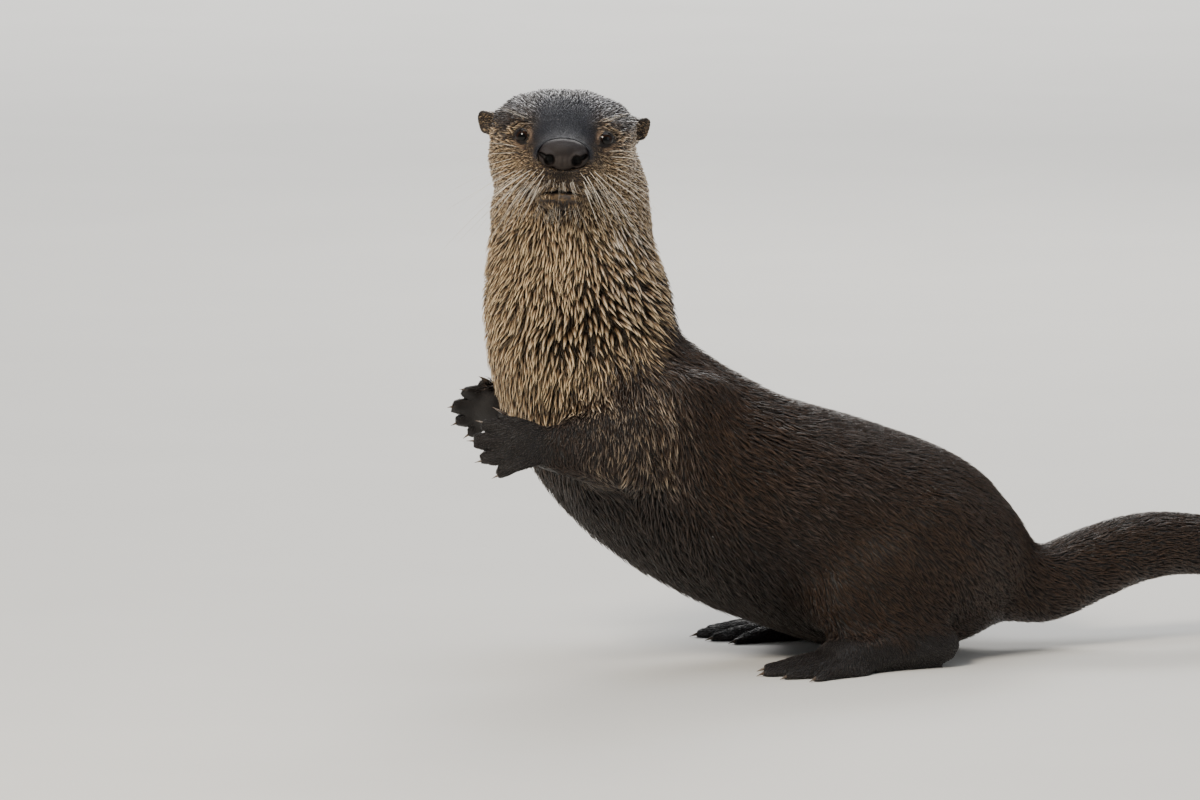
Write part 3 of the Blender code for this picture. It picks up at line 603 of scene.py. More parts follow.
def steepest(values):
    """The direction at each point in which the values grow fastest, along the skin."""
    corners = points[triangles]
    across = np.cross(corners[:, 1] - corners[:, 0], corners[:, 2] - corners[:, 0])
    twice_area = np.maximum(np.linalg.norm(across, axis=1, keepdims=True), 1e-12)
    slope = np.zeros_like(across)
    for i in range(3):
        opposite = corners[:, (i + 2) % 3] - corners[:, (i + 1) % 3]
        slope += values[triangles[:, i]][:, None] * np.cross(across / twice_area, opposite)
    total = np.zeros_like(points)
    for i in range(3):
        for axis in range(3):
            total[:, axis] += np.bincount(triangles[:, i], slope[:, axis], len(points))
    return total


def along_skin(vectors):
    """The vectors turned to lie flat on the skin."""
    return unit(vectors - (vectors * normals).sum(1, keepdims=True) * normals)


nose_low, nose_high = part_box("nose")
nose_middle = np.array((nose_low + nose_high) / 2)
reach = reach_from(int(np.argmin(np.linalg.norm(points - nose_middle, axis=1))))
lie = along_skin(steepest(reach))
hang = sum(share[part] * amount for part, amount in HANG.items())
swept = sum(share[part] * amount for part, amount in SWEPT.items()) * ramp(-0.185, -0.120, points[:, 0])
lie = along_skin(lie + np.array((0, 0, -1)) * hang[:, None] + np.array((1, 0, 0)) * swept[:, None])
for _ in range(LIE_ROUNDS):
    lie = along_skin(mean(lie))

on_head = share["head"] + share["lower_jaw"]
x, y, z = points.T
ahead, aside, above = head[:, 0], np.abs(head[:, 1]), head[:, 2]


def near(spot, radii):
    """1 at a place in the head's frame, falling away from it on both sides of the face."""
    return glow(np.stack([ahead, aside, above], 1), np.array(spot) * MM, np.array(radii) * MM)


# On the left of the throat, below the ear, the wet hair shines silver: a painted highlight.
SILVER_SHEEN_AT, SILVER_SHEEN_WIDE = (-0.196, -0.055, 0.294), (0.024, 0.040, 0.042)
# The way to the animal's back: behind the head at the top of the neck, and along the trunk at its foot.
risen = ramp(0.24, 0.35, z)[:, None]
to_back = unit(np.array((0.55, 0.83, 0)) * (1 - risen) + np.array((0.15, 1.0, 0)) * risen)
nape = ramp(0.20, 0.90, (normals * to_back).sum(1))
far_side = ramp(0.0, 0.06, y) * ramp(0.275, 0.215, z)
edge_of_bib = -0.174 - 0.40 * np.clip(0.228 - z, 0, 1) + 0.06 * np.abs(y)
foot_of_bib = 0.148 + 0.036 * ramp(-0.250, -0.200, x)
bib = ramp(0.014, -0.014, x - edge_of_bib)
bib *= ramp(foot_of_bib - 0.02 * ramp(0.06, 0.02, np.abs(y)), foot_of_bib + 0.058, z)
bib *= 1 - 0.6 * far_side
throat = np.maximum(bib, ramp(0.22, 0.27, z) * ramp(-0.160, -0.178, x))
shoulder = (ramp(0.105, 0.135, z) * ramp(0.215, 0.175, z) * ramp(-0.250, -0.225, x) * ramp(-0.150, -0.175, x)
            * ramp(0.02, -0.02, y))
silver_sheen = glow(points, SILVER_SHEEN_AT, SILVER_SHEEN_WIDE)
# Painted shade under the chin and in the corners of the mouth.
chin_and_mouth_shade = np.clip(near((54, 0, -45), (26, 16, 9)) + 0.7 * near((46, 21, -36), (14, 7, 6)), 0, 1)
cheek = on_head * ramp(14 * MM, -12 * MM, above + 0.2 * ahead)
cheek *= 1 - 0.80 * near((72, 0, -24), (30, 24, 13))
cheek *= 1 - 0.9 * chin_and_mouth_shade
eye_patch = near((44, 27, 1), (9, 8, 7.5))
brow = (ramp(9 * MM, 20 * MM, ahead) * ramp(-10 * MM, 2 * MM, above)
        * ramp(25 * MM, 14 * MM, aside + 0.25 * above) * ramp(22 * MM, 14 * MM, above)
        * (1 - 0.85 * eye_patch))
under_eye = near((52, 21, -13), (12, 13, 6)) * (1 - eye_patch)
from_nose = np.linalg.norm((head - nose_centre) / nose_half, axis=1)
round_nose = ramp(1.30, 1.0, from_nose) * ramp(-22 * MM, -10 * MM, above)
forearm_low = share["upper_arm"] * ramp(-0.185, -0.215, x)
# Painted shade: the underside of the chest and loins is darkened where the light does not reach it.
belly_shade = (share["chest"] + share["loins"]) * ramp(0.17, 0.11, z) * ramp(0.15, -0.45, normals[:, 2])
MARKS = {
    "buff": np.clip((cheek + 0.75 * eye_patch * on_head) * (1 - 0.85 * nape * ramp(0.0, -0.03, ahead))
                    + share["neck"] * (1 - 0.9 * nape) * (1 - 0.6 * far_side) * throat
                    + (share["chest"] + share["upper_arm"]) * bib + 0.22 * shoulder
                    + 0.28 * share["ear"], 0, 1),
    "ink": np.clip(share["forepaw"] + share["forearm"] * 0.45 + share["hindfoot"] + 0.9 * ear_dark
                   + forearm_low * 0.15 + belly_shade * 0.75 + 0.6 * chin_and_mouth_shade * on_head, 0, 1),
    "slate": np.clip(on_head * (brow + 0.3 * under_eye + round_nose
                                + 0.4 * ramp(6 * MM, 16 * MM, above)), 0, 1),
    # Painted light: wet highlights on the crown's spikes, the shoulder and the loins, the silver shine of the
    # throat, and a painted cool grey on the left cheek, the face's shaded side.
    "painted_sheen": (on_head * (ramp(8 * MM, 20 * MM, above) + 0.35 * ramp(0, 8 * MM, above)) * (1 - 0.9 * brow)
              + 0.4 * on_head * near((8, 45, -5), (25, 12, 20)) * ramp(-10 * MM, 10 * MM, head[:, 1])
              + 0.16 * shoulder + 0.85 * silver_sheen + 0.10 * share["loins"]),
    # Bare skin at the lids' rims and on the soles; inside the mouth the same dark is painted shade.
    "bare": np.clip(ramp(1.1 * MM, 0.3 * MM, lid_gap) + inside_mouth * 1.5 + sole, 0, 1),
    "ring": on_head * ramp(0.5 * MM, 1.2 * MM, lid_gap) * ramp(4.2 * MM, 2.2 * MM, lid_gap),
    "lip": lip * (1 - inside_mouth),
}
# The ruff is where the wet hair of the neck's left side stands off in separate spikes, with painted shade in
# the gaps between them.
RUFFS = (((-0.201, -0.070, 0.247), (0.030, 0.045, 0.022)), ((-0.238, -0.075, 0.224), (0.028, 0.040, 0.015)))
ruff = sum(glow(points, spot, radii) for spot, radii in RUFFS)
# Hair is shorter and finer on the muzzle, round the eyes and on the brow.
finer = 0.42 + 0.58 * ramp(12 * MM, 75 * MM, reach)
finer *= 0.55 + 0.45 * ramp(0.5 * MM, 9 * MM, np.abs(lid_gap))
finer *= 1 - 0.25 * np.clip(brow, 0, 1)
finer = np.where(on_head > 0.3, finer, 1)
for _ in range(FINER_ROUNDS):
    finer = mean(finer[:, None])[:, 0]


# ---------------------------------------------------------------- the coat
# Each tuft is a thin tapering blade of hair with a ridge along it, rooted in the skin. It is laid step
# by step along the skin in the coat's direction, so that it follows the body, and rises to its tip.
# Spacing, length, width in mm, and how high the tips stand.
SLEEK = {
    "head": (1.05, 4.4, 0.74, 1.2), "lower_jaw": (1.05, 4.8, 0.74, 1.3), "ear": (0.75, 2.0, 0.55, 0.3),
    "neck": (1.40, 8.0, 1.15, 1.9), "chest": (1.50, 9.0, 1.15, 1.9), "upper_arm": (1.45, 9.0, 1.10, 1.6),
    "forearm": (1.30, 7.5, 1.15, 1.1), "forepaw": (0.92, 3.9, 0.80, 0.42), "loins": (1.58, 9.5, 1.20, 1.9),
    "hindquarters": (1.58, 9.5, 1.20, 1.9), "hind_leg": (1.58, 9.0, 1.20, 1.7),
    "hindfoot": (1.06, 4.2, 0.92, 0.48), "tail": (1.55, 8.5, 1.20, 1.5),
}
CLUMPS = {
    "head": (1.80, 6.8, 1.15, 2.1), "lower_jaw": (1.80, 7.4, 1.2, 2.2), "neck": (2.20, 12.0, 1.80, 4.2),
    "chest": (2.5, 13.0, 1.7, 3.2), "upper_arm": (2.5, 13.0, 1.4, 2.6),
    "loins": (3.1, 13.0, 0.92, 2.2), "hindquarters": (3.1, 13.0, 0.92, 2.2),
    "hind_leg": (3.2, 11.5, 0.95, 2.0), "tail": (3.0, 11.0, 0.95, 1.8),
}
# One step of a tuft to a row: how far along it, how wide and how high, against the whole.
SLEEK_ROWS = ((0.0, 0.55, 0.0), (0.42, 1.0, 0.55), (1.0, 0.0, 1.0))
CLUMP_ROWS = ((0.0, 0.5, 0.0), (0.30, 1.0, 0.5), (0.66, 0.58, 0.85), (1.0, 0.0, 1.05))
GROUPS = {"head": ("head", "lower_jaw", "ear"), "neck": ("neck",), "chest": ("chest",),
          "forelimbs": ("upper_arm", "forearm", "forepaw"), "loins": ("loins",),
          "haunches": ("hindquarters",), "hind_limbs": ("hind_leg", "hindfoot"), "tail": ("tail",)}
CLUMP_GROUPS = {"head": ("head", "lower_jaw"), "neck": ("neck", "chest", "upper_arm"),
                "guard": ("neck", "chest", "upper_arm", "loins", "hindquarters", "hind_leg", "tail")}
OVERSAMPLE = 3.0                               # how many roots are tried for each one that there is room for
SUNK = 0.35 * MM
PATCH = 0.003                                  # a tuft's width on the unwrap
MOST_TRIANGLES = 190_000
FLOOR_GAP = 0.4 * MM
LEAST_SPACING = 0.5 * MM
RIDGE = 0.24                                   # how thick a tuft is against its width
# How small the smallest tufts are and how much the others add to that, and the same for their lift.
LEAST_SIZE, MORE_SIZE, LEAST_LIFT, MORE_LIFT = 0.75, 0.5, 0.6, 0.6
# Two waves that turn the tufts to one side and the other, in radians per metre along each axis; how far they
# turn them, how much less they do on the head, and how far each tuft turns of its own.
WAVES = (150.0, 40.0, 95.0), (-60.0, 170.0, 70.0)
SWIRL, CALM_HEAD, OWN_TURN = 0.25, 0.7, 0.16
UNWRAP_ANGLE, UNWRAP_GAP = math.radians(66), 0.002
rng = np.random.default_rng(11)

skin_tree = BVHTree.FromPolygons(points.tolist(), triangles.tolist())
face_lie = unit(lie[triangles].mean(1))
face_normal = unit(normals[triangles].mean(1))
corner_points = points[triangles]
face_area = np.linalg.norm(np.cross(corner_points[:, 1] - corner_points[:, 0],
                                    corner_points[:, 2] - corner_points[:, 0]), axis=1) / 2


def field(table, column):
    """A column of a table of the parts, blended over the skin."""
    filled = sum(share[part] for part in table)
    total = sum(share[part] * row[column] for part, row in table.items())
    return total / np.maximum(filled, 1e-6)


def at_roots(values, faces, inside):
    """The values of the skin's points, blended at places in its faces."""
    return (values[triangles[faces]] * (inside if values.ndim == 1 else inside[:, :, None])).sum(1)


def keep(mesh, key, values):
    """Writes a value to each point of a mesh, for its material to read."""
    mesh.attributes.new(key, "FLOAT", "POINT").data.foreach_set("value", np.asarray(values, np.float32))


def scattered(spacing, wanted):
    """Roots spread evenly over the skin, no two nearer than the spacing there: their face and place in it."""
    face_spacing = spacing[triangles].mean(1) * MM
    share_wanted = wanted[triangles].mean(1) > 0.5
    expected = face_area * share_wanted * OVERSAMPLE / np.maximum(face_spacing, LEAST_SPACING) ** 2
    counts = np.floor(expected + rng.random(len(expected))).astype(int)
    faces = np.repeat(np.arange(len(counts)), counts)
    rng.shuffle(faces)
    u, v = np.sqrt(rng.random(len(faces))), rng.random(len(faces))
    inside = np.stack([1 - u, u * (1 - v), u * v], 1)
    spots = at_roots(points, faces, inside).tolist()
    tree = tree_of(spots)
    free = np.ones(len(spots), bool)
    kept = []
    for i, (spot, radius) in enumerate(zip(spots, face_spacing[faces].tolist())):
        if free[i]:
            kept.append(i)
            for _, j, _ in tree.find_range(spot, radius):
                free[j] = False
    return faces[kept], inside[kept]


def tufts(name, faces, inside, length, width, lift, rows, brightness_and_shade):
    """Joined meshes of tufts at those roots, each mesh small enough to handle."""
    count = len(faces)
    chance = rng.random(count)
    length, width = (size * MM * (LEAST_SIZE + MORE_SIZE * rng.random(count)) for size in (length, width))
    lift = lift * MM * (LEAST_LIFT + MORE_LIFT * rng.random(count))
    foot, under = at_roots(points, faces, inside), faces
    swirl = np.sin(foot @ WAVES[0]) * np.sin(foot @ WAVES[1])
    swirl *= SWIRL * (1 - CALM_HEAD * np.clip(at_roots(on_head, faces, inside), 0, 1))
    yaw = (swirl + rng.normal(0, OWN_TURN, count))[:, None]
    rings, tips = [], None
    for k, (along, wide, high) in enumerate(rows):
        if k:
            step = (along - rows[k - 1][0]) * length
            ahead = face_lie[under] + np.cross(face_normal[under], face_lie[under]) * yaw
            goal = foot + unit(ahead) * step[:, None]
            found = [skin_tree.find_nearest(spot) for spot in goal.tolist()]
            foot = np.array([spot[0] for spot in found])
            under = np.array([spot[2] for spot in found])
        out, flow = face_normal[under], face_lie[under]
        centre = foot + out * (lift * high - (SUNK if k == 0 else 0))[:, None]
        if wide == 0:
            tips = centre
            break
        side = unit(np.cross(out, flow)) * (width * wide / 2)[:, None]
        rings += [centre - side, centre + out * (width * wide * RIDGE)[:, None], centre + side]
    per = len(rings) + 1
    spots = np.stack(rings + [tips], 1)
    spots[:, :, 2] = np.maximum(spots[:, :, 2], FLOOR_GAP)
    pattern = [(0, 1, 2)]
    for k in range(len(rings) // 3 - 1):
        for a, b in ((0, 1), (1, 2), (2, 0)):
            low_a, low_b, high_a, high_b = 3 * k + a, 3 * k + b, 3 * k + 3 + a, 3 * k + 3 + b
            pattern += [(low_a, high_b, low_b), (low_a, high_a, high_b)]
    last = len(rings) - 3
    pattern += [(last + a, per - 1, last + b) for a, b in ((0, 1), (1, 2), (2, 0))]
    pattern = np.array(pattern)
    tip = np.repeat([row[0] for row in rows], [3] * (len(rows) - 1) + [1])
    across = np.append(np.tile((0.0, 0.5, 1.0), len(rows) - 1), 0.5)
    marks = {key: at_roots(values, faces, inside) for key, values in MARKS.items()}
    where = (skin_uv[faces] * inside[:, :, None]).sum(1)
    batches = math.ceil(count * len(pattern) / MOST_TRIANGLES)
    for i, rows_here in enumerate(np.array_split(np.arange(count), batches)):
        here = len(rows_here)
        corners = (pattern[None] + (np.arange(here) * per)[:, None, None]).reshape(-1, 3)
        title = name if batches == 1 else f"{name}_{i + 1}"
        mesh = bpy.data.meshes.new(title)
        mesh.vertices.add(here * per)
        mesh.vertices.foreach_set("co", spots[rows_here].ravel())
        mesh.loops.add(corners.size)
        mesh.loops.foreach_set("vertex_index", corners.ravel().astype(np.int32))
        mesh.polygons.add(len(corners))
        mesh.polygons.foreach_set("loop_start", np.arange(0, corners.size, 3, dtype=np.int32))
        mesh.update(calc_edges=True)
        values = {key: np.repeat(mark[rows_here], per) for key, mark in marks.items()}
        values |= {"tip": np.tile(tip, here), "across": np.tile(across, here),
                   "chance": np.repeat(chance[rows_here], per), "brightness_and_shade": np.repeat(brightness_and_shade[rows_here], per)}
        for key, value in values.items():
            keep(mesh, key, value)
        flat = where[rows_here][:, None] + np.stack([across - 0.5, tip - 0.5], 1)[None] * PATCH
        mesh.uv_layers.new(name="OFBake").data.foreach_set("uv", flat.reshape(-1, 2)[corners.ravel()].ravel())
        mesh.shade_smooth()
        piece = placed(title, mesh, coat_finish)
        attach(piece, "root")


bpy.context.view_layer.objects.active = skin
skin.select_set(True)
bpy.ops.object.mode_set(mode="EDIT")
bpy.ops.mesh.select_all(action="SELECT")
bpy.ops.uv.smart_project(angle_limit=UNWRAP_ANGLE, island_margin=UNWRAP_GAP)
bpy.ops.object.mode_set(mode="OBJECT")
skin.select_set(False)
skin_mesh.uv_layers[0].name = "OFBake"
loops = numbers(skin_mesh.uv_layers[0].data, "uv", 2)
corner_loops = numbers(skin_mesh.loop_triangles, "loops").astype(int)
skin_uv = loops[corner_loops]

BUFF, BUFF_TIP, BUFF_ROOT = tone(192, 145, 97), tone(255, 227, 182), tone(26, 16, 10)
UMBER, UMBER_TIP, UMBER_ROOT = tone(52, 37, 28), tone(88, 69, 55), tone(20, 14, 10)
INK, INK_TIP = tone(20, 17, 16), tone(52, 46, 44)
SLATE, SLATE_TIP = tone(17, 17, 24), tone(44, 45, 58)
# A painted highlight: the near-white of wet hair tips that catch the light.
SHEEN_PAINT = tone(226, 227, 232)
LIP, LIP_DARK, BARE_AND_SHADE, RING = tone(104, 81, 50), tone(38, 27, 19), tone(24, 18, 16), tone(136, 112, 92)


def coat_colour(finish, tip, chance, brightness_and_shade, threads):
    """The coat's colour where its marks say, from root to tip, streaked by its threads, and dimmed by painted
    shade.
    """
    mark, between = finish.mark, finish.between
    place = finish.node("NewGeometry")
    broken = finish.node("TexNoise", Vector=place, Scale=90.0, Detail=4.0)
    spotted = finish.node("TexNoise", Vector=place, Scale=300.0, Detail=3.0)
    # Where buff gives way to umber, whole tufts are of the one colour or the other.
    pure = mark("buff")
    unsure = (broken * 0.6 + chance * 0.8 - 0.7) * (pure * (1 - pure) * 4.0)
    buff = between(pure + unsure, 0.15, 0.85)
    # Each hair darkens to its root: its own darker base, and painted shade in the gaps between the tufts.
    light_end = between(tip + (threads - 0.5) * 0.7, 0.08, 1.0)
    dark = finish.mixed(light_end, UMBER_ROOT, finish.mixed(light_end, UMBER, UMBER_TIP))
    light = finish.mixed(light_end, BUFF_ROOT, finish.mixed(light_end, BUFF, BUFF_TIP))
    colour = finish.mixed(buff, dark, light)
    colour = finish.mixed(mark("slate"), colour, finish.mixed(light_end, SLATE, SLATE_TIP))
    # Some tufts take the painted wet highlight at their tips, where the mark asks for it.
    sheened = mark("painted_sheen") * between(chance, 0.45, 0.75) * (light_end ** 2)
    colour = finish.mixed(sheened, colour, SHEEN_PAINT)
    colour = finish.mixed(mark("ink"), colour, finish.mixed(light_end, INK, INK_TIP))
    colour = finish.mixed(mark("ring") * 0.6, colour, RING)
    lip_tone = finish.mixed(between(spotted, 0.35, 0.65), LIP_DARK, LIP)
    colour = finish.mixed(between(mark("lip") + (spotted - 0.5) * 0.5, 0.25, 0.6), colour, lip_tone)
    # Bare skin's colour, which inside the mouth is painted shade.
    colour = finish.mixed(between(mark("bare"), 0.1, 0.6), colour, BARE_AND_SHADE)
    bright = (0.56 + chance * 0.66 + threads * 0.24) * brightness_and_shade
    return finish.node("VectorMath", {"operation": "SCALE"}, 0, _0=colour, Scale=bright)


hair = Finish("coat_hair")
root_to_tip, side_to_side, odds, shade = (hair.mark(name) for name in ("tip", "across", "chance", "brightness_and_shade"))
grown = hair.node("CombineXYZ", X=side_to_side * 5.0, Y=root_to_tip * 0.7, Z=odds * 40.0)
threads = hair.node("TexNoise", Vector=grown, Scale=1.0, Detail=2.0)
coat_finish = hair.done(
    Base_Color=coat_colour(hair, root_to_tip, odds, shade, threads), Roughness=0.36, Specular_IOR_Level=0.42,
    Normal=hair.node("Bump", Height=threads, Strength=0.5, Distance=0.0003))

for key, values in MARKS.items():
    keep(skin_mesh, key, values)
under = Finish("under_coat")
grain = under.node("TexNoise", Vector=under.node("NewGeometry"), Scale=1200.0, Detail=3.0)
# The skin between the tufts takes the hairs' dark root colours, dimmed further: painted shade under the coat.
skin_mesh.materials.append(under.done(
    Base_Color=coat_colour(under, grain * 0.35, grain, 0.8 + grain * 0.1, grain), Roughness=0.6,
    Normal=under.node("Bump", Height=grain, Strength=0.6, Distance=0.0006)))

covered = 1 - np.maximum(MARKS["bare"], ramp(0.35, 0.6, MARKS["lip"]))
covered *= from_nose > 0.90
covered *= (z > 1.5 * MM) | (normals[:, 2] > -0.6)
faces, inside = scattered(field(SLEEK, 0) * finer ** 0.7, covered)
owner = weights[triangles[faces][:, 0]].argmax(1)
overgrown = np.clip(share["neck"] + share["chest"] + 0.15 * on_head, 0, 1)
# Painted shade on the sleek hair that lies under the clumps of the neck and chest, deepest in the ruff.
shade_under_clumps = 0.55 * overgrown * ramp(0.3, 0.6, MARKS["buff"]) + 0.75 * ruff
for group, parts in GROUPS.items():
    here = np.isin(owner, [PARTS.index(part) for part in parts])
    f, w = faces[here], inside[here]
    size = at_roots(finer, f, w)
    shaded = 1 - at_roots(np.clip(shade_under_clumps, 0, 0.88), f, w)
    length, width, lift = (at_roots(field(SLEEK, k), f, w) * size for k in (1, 2, 3))
    tufts("coat_" + group, f, w, length, width, lift, SLEEK_ROWS, shaded)
for group, parts in CLUMP_GROUPS.items():
    if group == "guard":
        suited = ramp(0.6, 0.4, MARKS["buff"])
    else:
        suited = ramp(0.25, 0.5, MARKS["buff"] + MARKS["painted_sheen"])
    wanted = sum(share[part] for part in parts) * covered * suited
    faces, inside = scattered(field(CLUMPS, 0) * finer ** 0.6 * (1 + 0.8 * ruff), wanted)
    size = at_roots(finer, faces, inside)
    in_ruff = at_roots(ruff, faces, inside)
    length, width, lift = (at_roots(field(CLUMPS, k), faces, inside) * size for k in (1, 2, 3))
    # In the ruff the clumps are bigger and stand higher, and they are darkened with painted shade.
    tufts("clumps_" + group, faces, inside, length, width * (1 + 1.1 * in_ruff), lift * (1 + 1.3 * in_ruff),
          CLUMP_ROWS, 1 - 0.42 * in_ruff)


# ---------------------------------------------------------------- the eyes
# Each is a dark glass eye: a brown iris round a black pupil under a clear bulging cornea, and it sits
# in its socket with only the front showing between the lids.
RINGS, SPOKES = 30, 48
CORNEA, CORNEA_WIDE = 0.030, 0.50


def ring_mesh(name, shapes):
    """Closed shapes in one mesh, each over rings of points, its first and last a single point."""
    spots, faces = [], []
    for rings in shapes:
        count, first = len(rings[1]), len(spots) + 1
        spots += [spot for ring in rings for spot in ring]
        faces += [(first - 1, first + i, first + (i + 1) % count) for i in range(count)]
        for k in range(len(rings) - 3):
            for i in range(count):
                a, b = first + k * count + i, first + k * count + (i + 1) % count
                faces.append((a, a + count, b + count, b))
        last = first + (len(rings) - 3) * count
        faces += [(last + i, len(spots) - 1, last + (i + 1) % count) for i in range(count)]
    mesh = bpy.data.meshes.new(name)
    mesh.from_pydata(spots, [], faces)
    mesh.shade_smooth()
    return mesh


glass = Finish("eye_glass")
polar = glass.mark("polar")
fibres = glass.node("TexNoise", Scale=26.0, Detail=3.0)
iris = glass.mixed(fibres, tone(20, 12, 8), tone(52, 31, 18))
pupil = glass.between(polar, 0.42, 0.52)
limbus = glass.between(polar, 0.58, 0.72)
eye_colour = glass.mixed(limbus, glass.mixed(pupil, tone(6, 5, 5), iris), tone(22, 15, 12))
eye_finish = glass.done(Base_Color=eye_colour, Roughness=0.10, Specular_IOR_Level=0.15, Coat_Weight=0.22,
                        Coat_Roughness=0.02)
for side, place in eye_frames.items():
    rings, angles = [], []
    for k in range(RINGS + 1):
        angle = math.pi * k / RINGS
        radius = EYE_RADIUS * (1 + CORNEA * math.exp(-(angle / CORNEA_WIDE) ** 2) - CORNEA * 0.35)
        spokes = 1 if k in (0, RINGS) else SPOKES
        rings.append([place @ Vector((radius * math.sin(angle) * math.cos(math.tau * i / SPOKES),
                                      radius * math.sin(angle) * math.sin(math.tau * i / SPOKES),
                                      radius * math.cos(angle))) for i in range(spokes)])
        angles += [angle] * spokes
    ball = placed("eyeball_" + side, ring_mesh("eyeball_" + side, [rings]), eye_finish)
    keep(ball.data, "polar", angles)
    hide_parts("eye_" + side)
    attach(ball, "root")


# ---------------------------------------------------------------- the nose
# A bare leathery pad, arched above and narrow below, with a wing round each comma-shaped nostril and a
# shallow groove down its middle. It is modelled in one piece and let into the end of the muzzle.
NOSE_WEAVE, NOSE_ROUNDS, NOSE_EASE = 0.42 * MM, 9, 0.8
NOSE_FORMS = (  # place in the pad, ahead, aside and up, and radii, in mm
    ((-1.5, 0, 2.2), (8.0, 15.0, 7.6)), ((0.6, 0, -4.4), (6.4, 8.4, 6.0)),
    ((-0.6, 9.4, -1.8), (7.0, 7.0, 7.2)), ((0.8, 0, 3.2), (6.6, 9.0, 5.0)),
)
NOSTRIL, NOSTRIL_SIZE, NOSTRIL_DEEP = (8.9, -3.7), (3.1, 3.4), 5.5
SLIT, SLIT_SIZE, SLIT_TILT, SLIT_DEPTH = (12.4, -1.6), (3.8, 1.5), math.radians(30), 0.85
shape = bmesh.new()
for (ahead_by, aside_by, up_by), radii in NOSE_FORMS:
    for side in (1, -1) if aside_by else (1,):
        place = (Matrix.Translation(Vector(nose_centre) + Vector((ahead_by, aside_by * side, up_by)) * MM)
                 @ Matrix.Diagonal((*(Vector(radii) * MM), 1)))
        bmesh.ops.create_uvsphere(shape, u_segments=32, v_segments=20, radius=1.0, matrix=place)
rough = bpy.data.meshes.new("nose_rough")
shape.to_mesh(rough)
shape.free()
nose_mesh = woven(placed("nose_block", rough), NOSE_WEAVE)
nose_mesh.name = "nose_pad"
nose_points = numbers(nose_mesh.vertices, "co").astype(float)
nose_mean = averager(numbers(nose_mesh.edges, "vertices", 2), len(nose_points))
nose_points = eased(nose_points, nose_mean, NOSE_EASE, NOSE_ROUNDS)
own = (nose_points - nose_centre) / MM
facing = ramp(0.0, 3.0, own[:, 0])
beside, height = np.abs(own[:, 1]), own[:, 2]
hole = ((beside - NOSTRIL[0]) / NOSTRIL_SIZE[0]) ** 2 + ((height - NOSTRIL[1]) / NOSTRIL_SIZE[1]) ** 2
out, rise = beside - SLIT[0], height - SLIT[1]
cos, sin = math.cos(SLIT_TILT), math.sin(SLIT_TILT)
slit = ((out * cos + rise * sin) / SLIT_SIZE[0]) ** 2 + ((rise * cos - out * sin) / SLIT_SIZE[1]) ** 2
nostril = np.maximum(ramp(1.5, 0.4, hole), ramp(1.7, 0.3, slit) * SLIT_DEPTH)
rim = np.clip(ramp(3.6, 1.6, hole) - nostril, 0, 1)
groove = np.exp(-(own[:, 1] / 1.0) ** 2) * ramp(2.0, -3.0, own[:, 2])
own[:, 0] += facing * (rim * 0.5 - nostril * NOSTRIL_DEEP - groove * 0.5)
nose_points = in_frame(HEAD, own * MM + nose_centre)
nose_mesh.vertices.foreach_set("co", nose_points.ravel())
keep(nose_mesh, "nostril_shade", nostril * facing)
keep(nose_mesh, "up", ramp(-7.0, 8.0, height))
nose_mesh.update()
nose_mesh.shade_smooth()
leather = Finish("nose_leather")
pebble = leather.node("TexVoronoi", {"feature": "DISTANCE_TO_EDGE"}, Scale=40.0)
stain = leather.node("TexNoise", Scale=9.0, Detail=5.0)
pad_colour = leather.mixed(stain, tone(24, 18, 15), tone(46, 36, 30))
pad_colour = leather.mixed(leather.mark("up") * 0.6, pad_colour, tone(32, 29, 33))
# Painted shade deep in the nostrils.
pad_colour = leather.mixed(leather.mark("nostril_shade"), pad_colour, tone(8, 6, 6))
nose = placed("nose_pad", nose_mesh, leather.done(
    Base_Color=pad_colour, Roughness=0.44 + stain * 0.2, Specular_IOR_Level=0.35,
    Normal=leather.node("Bump", Height=pebble + stain * 0.5, Strength=0.6, Distance=0.0006)))
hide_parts("nose")
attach(nose, "root")


# ---------------------------------------------------------------- the whiskers
# Stiff pale bristles in rows on the pads beside the nose, longer towards the cheeks, a few over the eyes
# and on the chin. Wet, they droop and lie along the cheeks. Each is drawn as a long thin cone.
STRAND_SIDES, STRAND_STEPS, STRAND_ROUNDS = 4, 9, 4
WHISKER_THICK, BRISTLE_THICK, LONG_THICK = 0.23, 0.12, 0.15
STRAND_TAPER = 0.82                            # how much thinner the tip is than the root
CLEAR, LEAST_STEP = 2.0 * MM, 0.1 * MM         # how far off the skin a hair is kept, and its shortest step
WHISKER_ROWS, WHISKERS_IN_ROW, CHEEK_HAIRS, BROW_HAIRS = 5, 5, 6, 3
# On the lip and on the chin: how many bristles, how far to each side, between what heights, how much their
# rows bow, which way they point and bend, and their lengths.
BRISTLES = ((54, 17, (-34, -26), 0.010, (0.30, 0.045), (0.008, -0.15), (3.5, 8)),
            (36, 15, (-54, -44), 0.0, (0.35, 0.03), (0.01, -0.2), (5, 12)))


